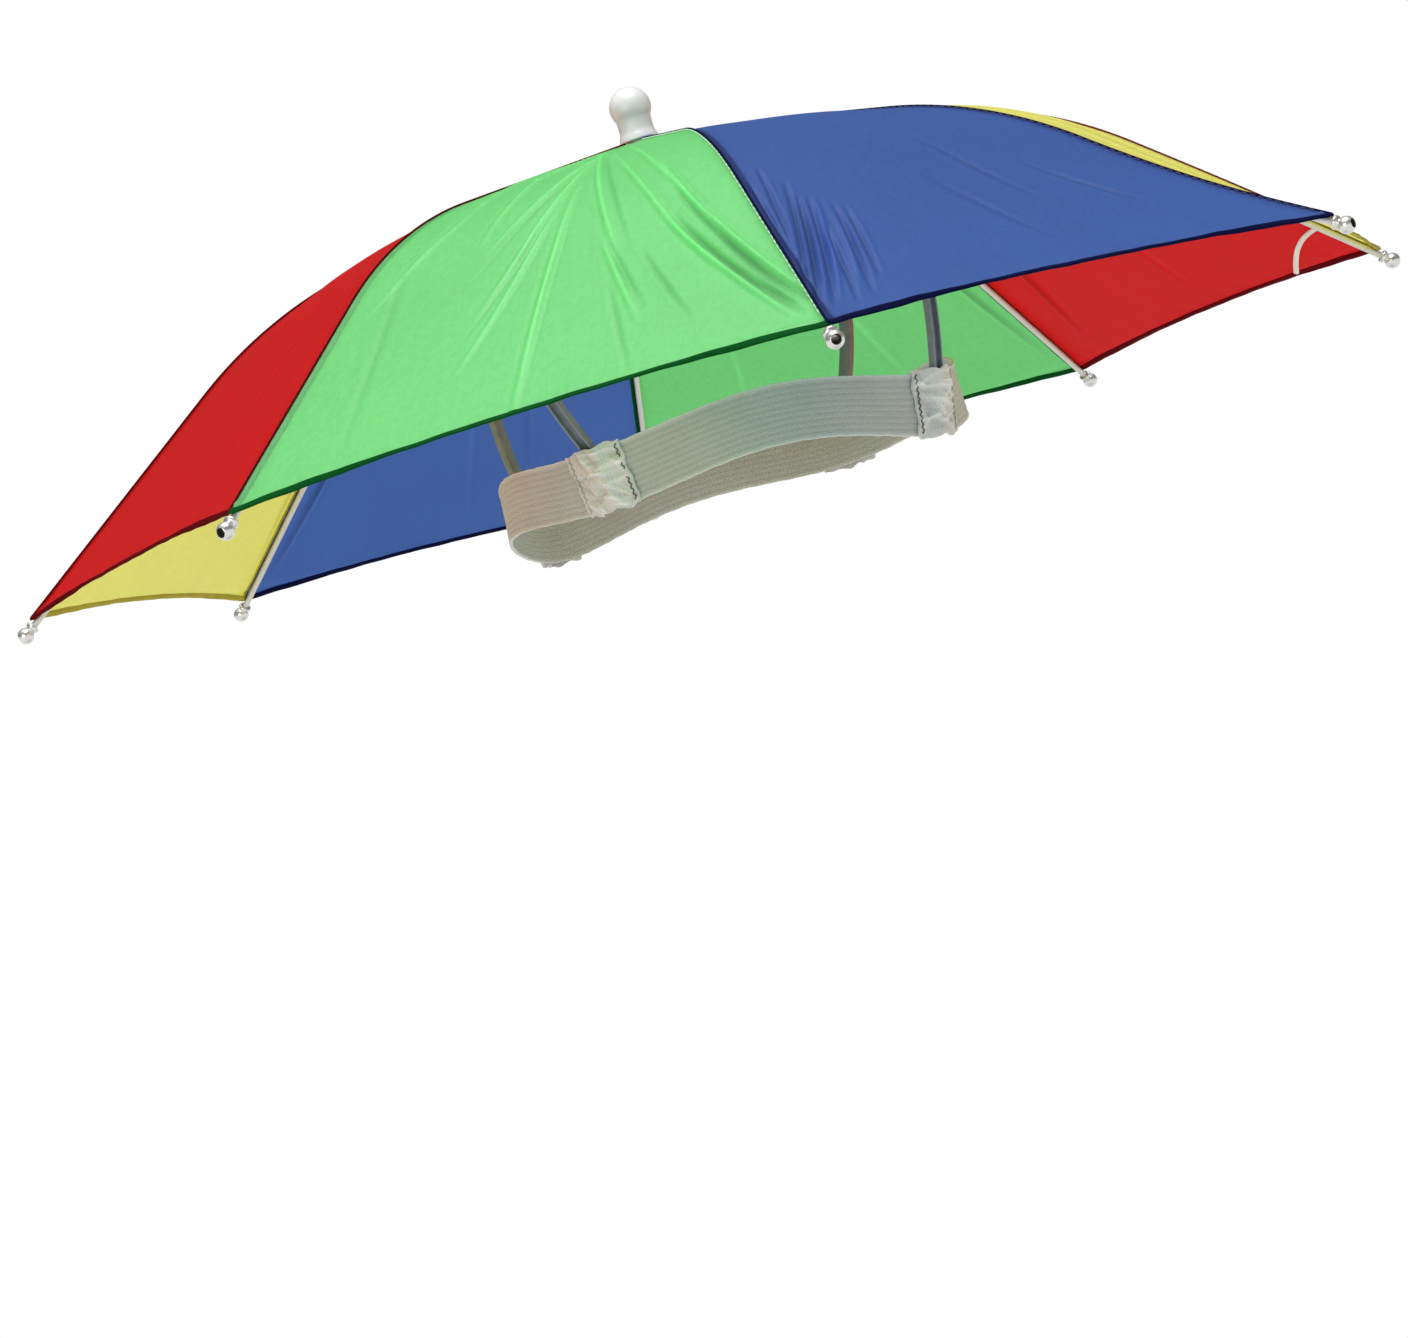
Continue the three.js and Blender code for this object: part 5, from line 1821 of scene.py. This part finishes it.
@dataclass
class Harness:
    """The headband, the pockets sewn to it and the legs that stand in them."""

    band: BandForm
    wardrobe: Wardrobe
    around: int = 320
    band_cords: int = 10
    band_rows: int = 40
    cord_depth: float = 0.13 * MM
    cord_roundness: float = 0.6
    band_inset: float = 0.15 * MM
    groove_shade: float = 0.45
    edge_height: float = 0.18 * MM
    edge_width: float = 0.035
    edge_painted_highlight: float = 1.2
    edge_waver: float = 0.06 * MM
    crimp: float = 0.05 * MM
    gather: float = 0.12 * MM
    gather_reach: float = 0.28
    pocket_half: float = 12 * MM
    pocket_overlap: float = 1 * MM
    pocket_wall: float = 0.9 * MM
    pocket_flank: float = 1.3
    pocket_hem: float = 0.12
    pocket_cord: float = 0.06 * MM
    pocket_waver: float = 0.35 * MM
    pocket_fray: float = 0.3 * MM
    pocket_columns: int = 84
    pocket_rows: int = 78
    crumples: int = 34
    crumple_seed: int = 200
    crumple_depth: float = 0.85 * MM
    crumple_limits: tuple[float, float] = (-0.5 * MM, 1.6 * MM)
    leg_width: float = 5.2 * MM
    leg_depth: float = 2.8 * MM
    leg_sheet: float = 0.8 * MM
    leg_shoulder: float = 70 * MM
    leg_spread: float = 110 * MM
    leg_foot: float = 2 * MM
    leg_steps: int = 39
    thread: float = 0.5 * MM
    thread_sides: int = 6
    zigzags: int = 19
    zigzag_reach: float = 0.55 * MM
    zigzag_inset: float = 1.4 * MM

    def add(self) -> None:
        """Makes the band, and a leg and its pocket four times."""
        band = self.add_band()
        for leg in LEGS:
            self.add_leg(leg)
            pocket = self.add_pocket(leg)
            stitches = [self.add_pocket_stitches(leg, row) for row in (-1, 1)]

    def cords(self, up: Array) -> Array:
        """The round cords that run along the elastic, from 0 in a groove to 1 on a cord."""
        return np.abs(np.sin(math.pi * self.band_cords * up)) ** self.cord_roundness

    def add_band(self) -> Piece:
        """Makes the elastic headband, ribbed along its length.

        Returns:
            The band.
        """
        form = self.band
        heights = np.linspace(0, 1, self.band_rows + 1)
        angle, up = np.meshgrid(np.linspace(0, math.tau, self.around, endpoint=False), heights)
        quarter = math.pi / 2
        cords = self.cords(up)
        selvedge = bell(np.minimum(up, 1 - up), self.edge_width)
        crimp = np.sin(angle * 130) * 0.5 + np.sin(angle * 211 + 7 * up) * 0.5
        at_leg = bell((angle + quarter / 2) % quarter - quarter / 2, self.gather_reach)
        proud = self.cord_depth * cords + self.edge_height * selvedge
        proud += (self.crimp + self.gather * at_leg) * crimp
        waver = self.edge_waver * (np.sin(angle * 47) + np.sin(angle * 83 + 1)) * (2 * up - 1)
        rise = (up - 0.5) * form.height + waver
        half = form.wall / 2 - self.band_inset
        faces = [form.point(angle, offset, rise) for offset in (half + proud, -half - 0.5 * proud)]
        maker = MeshMaker()
        run = np.linspace(0, math.tau, self.around + 1) * (form.half_width + form.half_length) / 2
        uv = np.stack(np.meshgrid(run, heights * form.height), axis=2)
        maker.add_wall(*faces, uv, loop=True)
        piece = maker.piece("elastic_headband", 75.0)
        # Painted shade in the grooves between the cords, and a painted highlight along both edges.
        shade = self.groove_shade * (1 - cords) * (1 - selvedge) - self.edge_painted_highlight * selvedge
        keep_painted_shade(piece, np.stack([shade, shade]))
        return self.wardrobe.dress(piece, BAND_ELASTIC_PAINTED_SHADE, "headband")

    def pocket_offset(self, side: Array) -> Array:
        """How far a pocket's inner face stands off the band: over the leg, down to the band beside it."""
        flat = self.leg_width / 2 + 2 * GAP
        share = np.clip((np.abs(side) - flat) / (self.leg_depth * self.pocket_flank), 0, 1)
        smooth = share * share * (3 - 2 * share)
        return self.band.wall / 2 + GAP + (self.leg_depth + GAP) * (1 - smooth)

    def crumpled(self, leg: Leg, side: Array, level: Array) -> Array:
        """The crumples of a pocket: the short sharp folds that gathered elastic falls into.

        Args:
            leg: The leg that stands in the pocket.
            side: The distance from the pocket's middle.
            level: The height over the pocket's middle.

        Returns:
            What stands proud of the smooth elastic.
        """
        draw = np.random.default_rng(self.crumple_seed + leg.rib)
        proud = np.zeros_like(side)
        for number in range(self.crumples):
            start = draw.uniform(-0.9, 0.9) * self.pocket_half, draw.uniform(-0.5, 0.5) * self.band.height
            slant = draw.uniform(-1.2, 0.7)
            length, width = draw.uniform(2.5, 7) * MM, draw.uniform(0.5, 1.0) * MM
            along = (side - start[0]) * math.cos(slant) + (level - start[1]) * math.sin(slant)
            aside = (level - start[1]) * math.cos(slant) - (side - start[0]) * math.sin(slant)
            fold = np.exp(-((along / length) ** 2) - np.abs(aside / width) ** 1.4)
            proud += self.crumple_depth * (0.9 if number % 2 else -0.6) * fold
        return np.clip(proud, *self.crumple_limits)

    def add_pocket(self, leg: Leg) -> Piece:
        """Makes a pocket of crumpled elastic.

        Args:
            leg: The leg that stands in it.

        Returns:
            The pocket.
        """
        form = self.band
        azimuth = leg.rib * STEP
        height = form.height + 2 * self.pocket_overlap
        counts = (self.pocket_columns, self.pocket_rows)
        across, up = np.meshgrid(*(np.linspace(-1, 1, count + 1) for count in counts))
        side, level = across * self.pocket_half, up / 2 * height
        edge = np.minimum(1, (1 - np.abs(across)) / self.pocket_hem)
        proud = self.crumpled(leg, side, level) * edge + self.pocket_cord * self.cords((up + 1) / 2)
        waver = np.sin(side / (1.9 * MM) + leg.rib) + np.sin(side / (1.1 * MM) + 2 * leg.rib)
        frayed = np.sin(level / (2.3 * MM) + leg.rib) + np.sin(level / (1.2 * MM) + 3)
        side = side + self.pocket_fray * frayed * across**5
        rise = level + self.pocket_waver * waver * up**3
        offset = self.pocket_offset(side)
        angle = azimuth + side / form.speed(azimuth)
        outer = form.point(angle, offset + self.pocket_wall + proud, rise)
        inner = form.point(angle, offset, rise)
        maker = MeshMaker()
        maker.add_wall(outer, inner, np.stack([side, rise], axis=2))
        piece = maker.piece(f"gathered_pocket_{leg.name}", 75.0)
        # Painted shade in the crumples' valleys and a painted highlight on their ridges, on the outer face
        # only.
        keep_painted_shade(piece, np.stack([-proud * edge / MM, np.zeros_like(proud)]))
        return self.wardrobe.dress(piece, POCKET_ELASTIC, f"pocket_{leg.name}")

    def add_pocket_stitches(self, leg: Leg, row: int) -> Piece:
        """Makes one of the two zigzag rows that sew a pocket to the band.

        Args:
            leg: The leg that stands in the pocket.
            row: The side of the pocket, -1 or 1.

        Returns:
            The stitches.
        """
        form = self.band
        azimuth = leg.rib * STEP
        place = np.arange(self.zigzags + 1)
        zig = np.where(place % 2 == 0, -1, 1) * self.zigzag_reach
        side = row * (self.pocket_half - self.zigzag_inset) + zig
        rise = (place / self.zigzags - 0.5) * (form.height - MM)
        offset = self.pocket_offset(side) + self.pocket_wall + self.thread / 2
        points = form.point(azimuth + side / form.speed(azimuth), offset, rise)
        path = softened(points, 0.5 * MM, 2)
        forward = unit(np.gradient(path, axis=0))
        out = np.broadcast_to(np.array([math.cos(azimuth), math.sin(azimuth), 0.0]), path.shape)
        side_way = unit(np.cross(out, forward))
        maker = MeshMaker()
        ring = circle(self.thread_sides, self.thread / 2)
        maker.add_sweep(path, side_way, np.cross(forward, side_way), ring)
        shade, finish = ("dark", DARK_THREAD) if row == leg.dark_row else ("pale", BAND_ELASTIC_PAINTED_SHADE)
        return self.wardrobe.dress(maker.piece(f"pocket_stitches_{leg.name}_{shade}"), finish)

    def leg_path(self, leg: Leg) -> Array:
        """A leg's line in its own upright plane.

        Args:
            leg: The leg.

        Returns:
            Rows of radius and height, from its foot to the plate.
        """
        form = self.band
        azimuth = leg.rib * STEP
        seat_offset = form.wall / 2 + GAP + self.leg_depth / 2

        def seat(rise: float) -> Array:
            """The leg's place in its pocket."""
            x, y, z = form.point(azimuth, seat_offset, rise)
            return np.array([math.hypot(x, y), z])

        bend = self.leg_depth / 2 * math.tan((leg.lean - form.lean_at_leg) / 2)
        foot = seat(-form.height / 2 + self.leg_foot)
        knee = seat(form.height / 2 + self.pocket_overlap + GAP + bend)
        reach = leg.pull * form.leg_top
        pull = knee + reach * np.array([math.sin(leg.lean), math.cos(leg.lean)])
        over = np.array([self.leg_spread, form.leg_top])
        shoulder = np.array([self.leg_shoulder, form.leg_top])
        share = np.linspace(0, 1, self.leg_steps + 1)[:, None]
        curve = (
            knee * (1 - share) ** 3
            + 3 * pull * share * (1 - share) ** 2
            + 3 * over * share**2 * (1 - share)
            + shoulder * share**3
        )
        root = np.array([form.plate_radius + GAP, form.leg_top])
        return softened(np.concatenate([[foot], curve, [root]]), 2.5 * MM, 3)

    def add_leg(self, leg: Leg) -> None:
        """Makes a leg, a steel strip folded to a channel that is open outward.

        Args:
            leg: The leg.
        """
        line = self.leg_path(leg)
        apart = np.linalg.norm(np.diff(line, axis=0), axis=1) > 1e-6
        line = line[np.concatenate([[True], apart])]
        forward = unit(np.gradient(line, axis=0))
        nothing = np.zeros(len(line))
        path = np.stack([line[:, 0], nothing, line[:, 1]], axis=1)
        up = np.stack([forward[:, 1], nothing, -forward[:, 0]], axis=1)
        side = np.broadcast_to(np.array([0.0, -1.0, 0.0]), path.shape)
        section = folded_channel(self.leg_width, self.leg_depth, self.leg_sheet, 0.3 * MM, 4)
        maker = MeshMaker()
        maker.add_spoke((path, side, up), leg.rib * STEP, section)
        self.wardrobe.dress(maker.piece(f"channel_leg_{leg.name}", 50.0), LEG_STEEL, f"leg_{leg.name}")


@dataclass
class ClosureTape:
    """The elastic tape under the left front gore that holds the folded hat together."""

    form: CanopyForm
    wardrobe: Wardrobe
    span: float = 40 * MM
    climb: float = 22 * MM
    width: float = 1.8 * MM
    wall: float = 0.9 * MM
    crown: float = 0.25 * MM
    steps: int = 14
    columns: int = 8
    gore: str = "panel_left_front_red"
    route: tuple[tuple[float, float], ...] = (
        (1.04, 0.2), (0.87, 0.42), (0.62, 0.7), (0.4, 0.88), (0.22, 0.97), (0.08, 1.0)
    )

    def add(self) -> Piece:
        """Makes the tape on a smooth route from the hem to the rib.

        Returns:
            The tape.
        """
        form = self.form
        route = np.array(self.route) * np.array([self.span, self.climb])
        centre = softened(route, self.span, self.steps)
        forward = unit(np.gradient(centre, axis=0))
        share, row = np.meshgrid(np.linspace(-0.5, 0.5, self.columns + 1), np.arange(len(centre)))
        side = share * self.width
        along = centre[row, 0] + forward[row, 1] * side
        up = centre[row, 1] - forward[row, 0] * side
        radius = form.cloth_reach - (up + self.width) * math.cos(form.outer_slope)
        across = along / form.half_width(radius) - 1
        number = [gore.node for gore in GORES].index(self.gore)
        depth = self.wall - self.crown * (2 * share) ** 2
        inside = form.cloth_inside - GAP
        faces = [form.gore_point(number, across, radius, lift) for lift in (inside, inside - depth)]
        maker = MeshMaker()
        maker.add_wall(*faces, np.stack([side, row * self.span / len(centre)], axis=2))
        return self.wardrobe.dress(maker.piece("curved_tape", 60.0), TAPE_ELASTIC, "closure_tape")


@dataclass(frozen=True)
class Studio:
    """The camera, the soft lights, the world and the pale floor."""

    aim: tuple[float, float, float] = (-0.0189, 0.0244, -0.0727)
    distance: float = 1.3243
    azimuth: float = -52.231
    elevation: float = -1.1985
    roll: float = -15.949
    lens: float = 91.589
    sensor: float = 36.0
    sky: tuple[tuple[float, float], ...] = (
        (0.0, 0.9), (0.44, 0.9), (0.5, 0.8), (0.54, 0.4),
        (0.58, 0.08), (0.82, 0.1), (0.93, 0.6), (1.0, 1.1),
    )
    floor_drop: float = 0.58
    floor_radius: float = 1.0
    floor_hole: float = 0.02
    floor_rows: int = 24
    floor_sides: int = 96
    floor_fade: tuple[float, float] = (0.38, 0.95)

    def add(self) -> None:
        """Makes the whole studio."""
        self.add_camera()
        self.add_world()
        self.add_lights()
        self.add_floor()
        view = bpy.context.scene.view_settings
        view.view_transform = "Standard"
        view.look = "None"

    def add_camera(self) -> None:
        """Makes the camera, at the photograph's angle to the hat."""
        turn, rise, roll = (math.radians(angle) for angle in (self.azimuth, self.elevation, self.roll))
        back = Vector((math.sin(turn) * math.cos(rise), -math.cos(turn) * math.cos(rise), math.sin(rise)))
        level = Vector((0, 0, 1)).cross(back).normalized()
        upright = back.cross(level)
        right = level * math.cos(roll) + upright * math.sin(roll)
        up = back.cross(right)
        data = bpy.data.cameras.new("camera")
        data.sensor_fit = "HORIZONTAL"
        data.sensor_width = self.sensor
        data.lens = self.lens
        data.clip_start = 0.01
        camera = bpy.data.objects.new("camera", data)
        turned = Matrix((right, up, back)).transposed().to_4x4()
        camera.matrix_world = Matrix.Translation(Vector(self.aim) + back * self.distance) @ turned
        bpy.context.scene.collection.objects.link(camera)
        bpy.context.scene.camera = camera

    def add_world(self) -> None:
        """Makes a white backdrop that is dimmer above the horizon, where the flat cloth mirrors it."""
        world = bpy.data.worlds.new("studio")
        world.use_nodes = True
        world.node_tree.nodes.clear()
        nodes = Nodes(world.node_tree)
        direction = nodes.add("ShaderNodeTexCoord").outputs["Generated"]
        height = nodes.add("ShaderNodeSeparateXYZ", {0: direction}).outputs[2]
        upward = nodes.math("ADD", nodes.math("MULTIPLY", height, 0.5), 0.5)
        ramp = nodes.add("ShaderNodeValToRGB", {0: upward})
        elements = ramp.color_ramp.elements
        while len(elements) < len(self.sky):
            elements.new(0.5)
        for element, (place, level) in zip(elements, self.sky):
            element.position = place
            element.color = (level, level, level, 1.0)
        seen = nodes.add("ShaderNodeLightPath").outputs["Is Camera Ray"]
        colour = nodes.mixed(seen, ramp.outputs[0], (1.0, 1.0, 1.0))
        background = nodes.add("ShaderNodeBackground", {"Color": colour, "Strength": 1.0})
        nodes.add("ShaderNodeOutputWorld", {"Surface": background.outputs[0]})
        bpy.context.scene.world = world

    def add_lights(self) -> None:
        """Makes a wide soft light overhead and a fill from the camera's left."""
        lamps = (
            ("overhead", (-0.25, -0.3, 1.3), 0.8, 15.0), ("left_fill", (-1.9, -0.3, 0.3), 1.0, 8.0),
        )
        for name, place, size, power in lamps:
            data = bpy.data.lights.new(name, "AREA")
            data.size = size
            data.energy = power
            lamp = bpy.data.objects.new(name, data)
            lamp.location = place
            lamp.rotation_euler = (-Vector(place)).to_track_quat("-Z", "Y").to_euler()
            bpy.context.scene.collection.objects.link(lamp)

    def add_floor(self) -> None:
        """Makes the pale floor, a disc that fades into the backdrop and is seen from above alone."""
        maker = MeshMaker()
        rows = np.linspace(0, 1, self.floor_rows + 1) ** 1.5
        ring = circle(self.floor_sides, 1.0)
        disc = np.full((len(rows), len(ring), 3), -self.floor_drop)
        disc[..., :2] = (self.floor_hole + self.floor_radius * rows)[:, None, None] * ring
        numbers = maker.add_points(disc)
        closed = np.concatenate([numbers, numbers[:, :1]], axis=1)[::-1]
        maker.add_quads(closed, np.zeros(closed.shape + (2,)))
        maker.add_cap(numbers[0])
        floor = maker.piece("floor", 180.0)
        surface = Surface("Pale floor", Effects())
        nodes = surface.nodes
        away = nodes.add("ShaderNodeVectorMath", {0: surface.place}, operation="LENGTH").outputs["Value"]
        fade = nodes.mask(away, *self.floor_fade, interpolation_type="SMOOTHSTEP")
        under = nodes.add("ShaderNodeNewGeometry").outputs["Backfacing"]
        clear = nodes.math("MAXIMUM", fade, under)
        pale = nodes.add("ShaderNodeBsdfDiffuse", {"Color": (0.86, 0.86, 0.85)})
        gone = nodes.add("ShaderNodeBsdfTransparent")
        mix = nodes.add("ShaderNodeMixShader", {0: clear, 1: pale.outputs[0], 2: gone.outputs[0]})
        floor.data.materials.append(surface.finished(mix.outputs[0]))


def main() -> None:
    """Builds the studio and the hat, piece by piece."""
    logging.basicConfig(level=logging.INFO, format="%(name)s %(message)s")
    Studio().add()
    wardrobe = Wardrobe()
    form = CanopyForm()
    canopy = Canopy(form, wardrobe)
    gores = canopy.add_gores()
    hems = canopy.add_hems()
    canopy.add_seams()
    RibSet(form, wardrobe).add()
    band = BandForm()
    Crown(form, band, wardrobe).add()
    Harness(band, wardrobe).add()
    tape = ClosureTape(form, wardrobe).add()


if __name__ == "__main__":
    main()
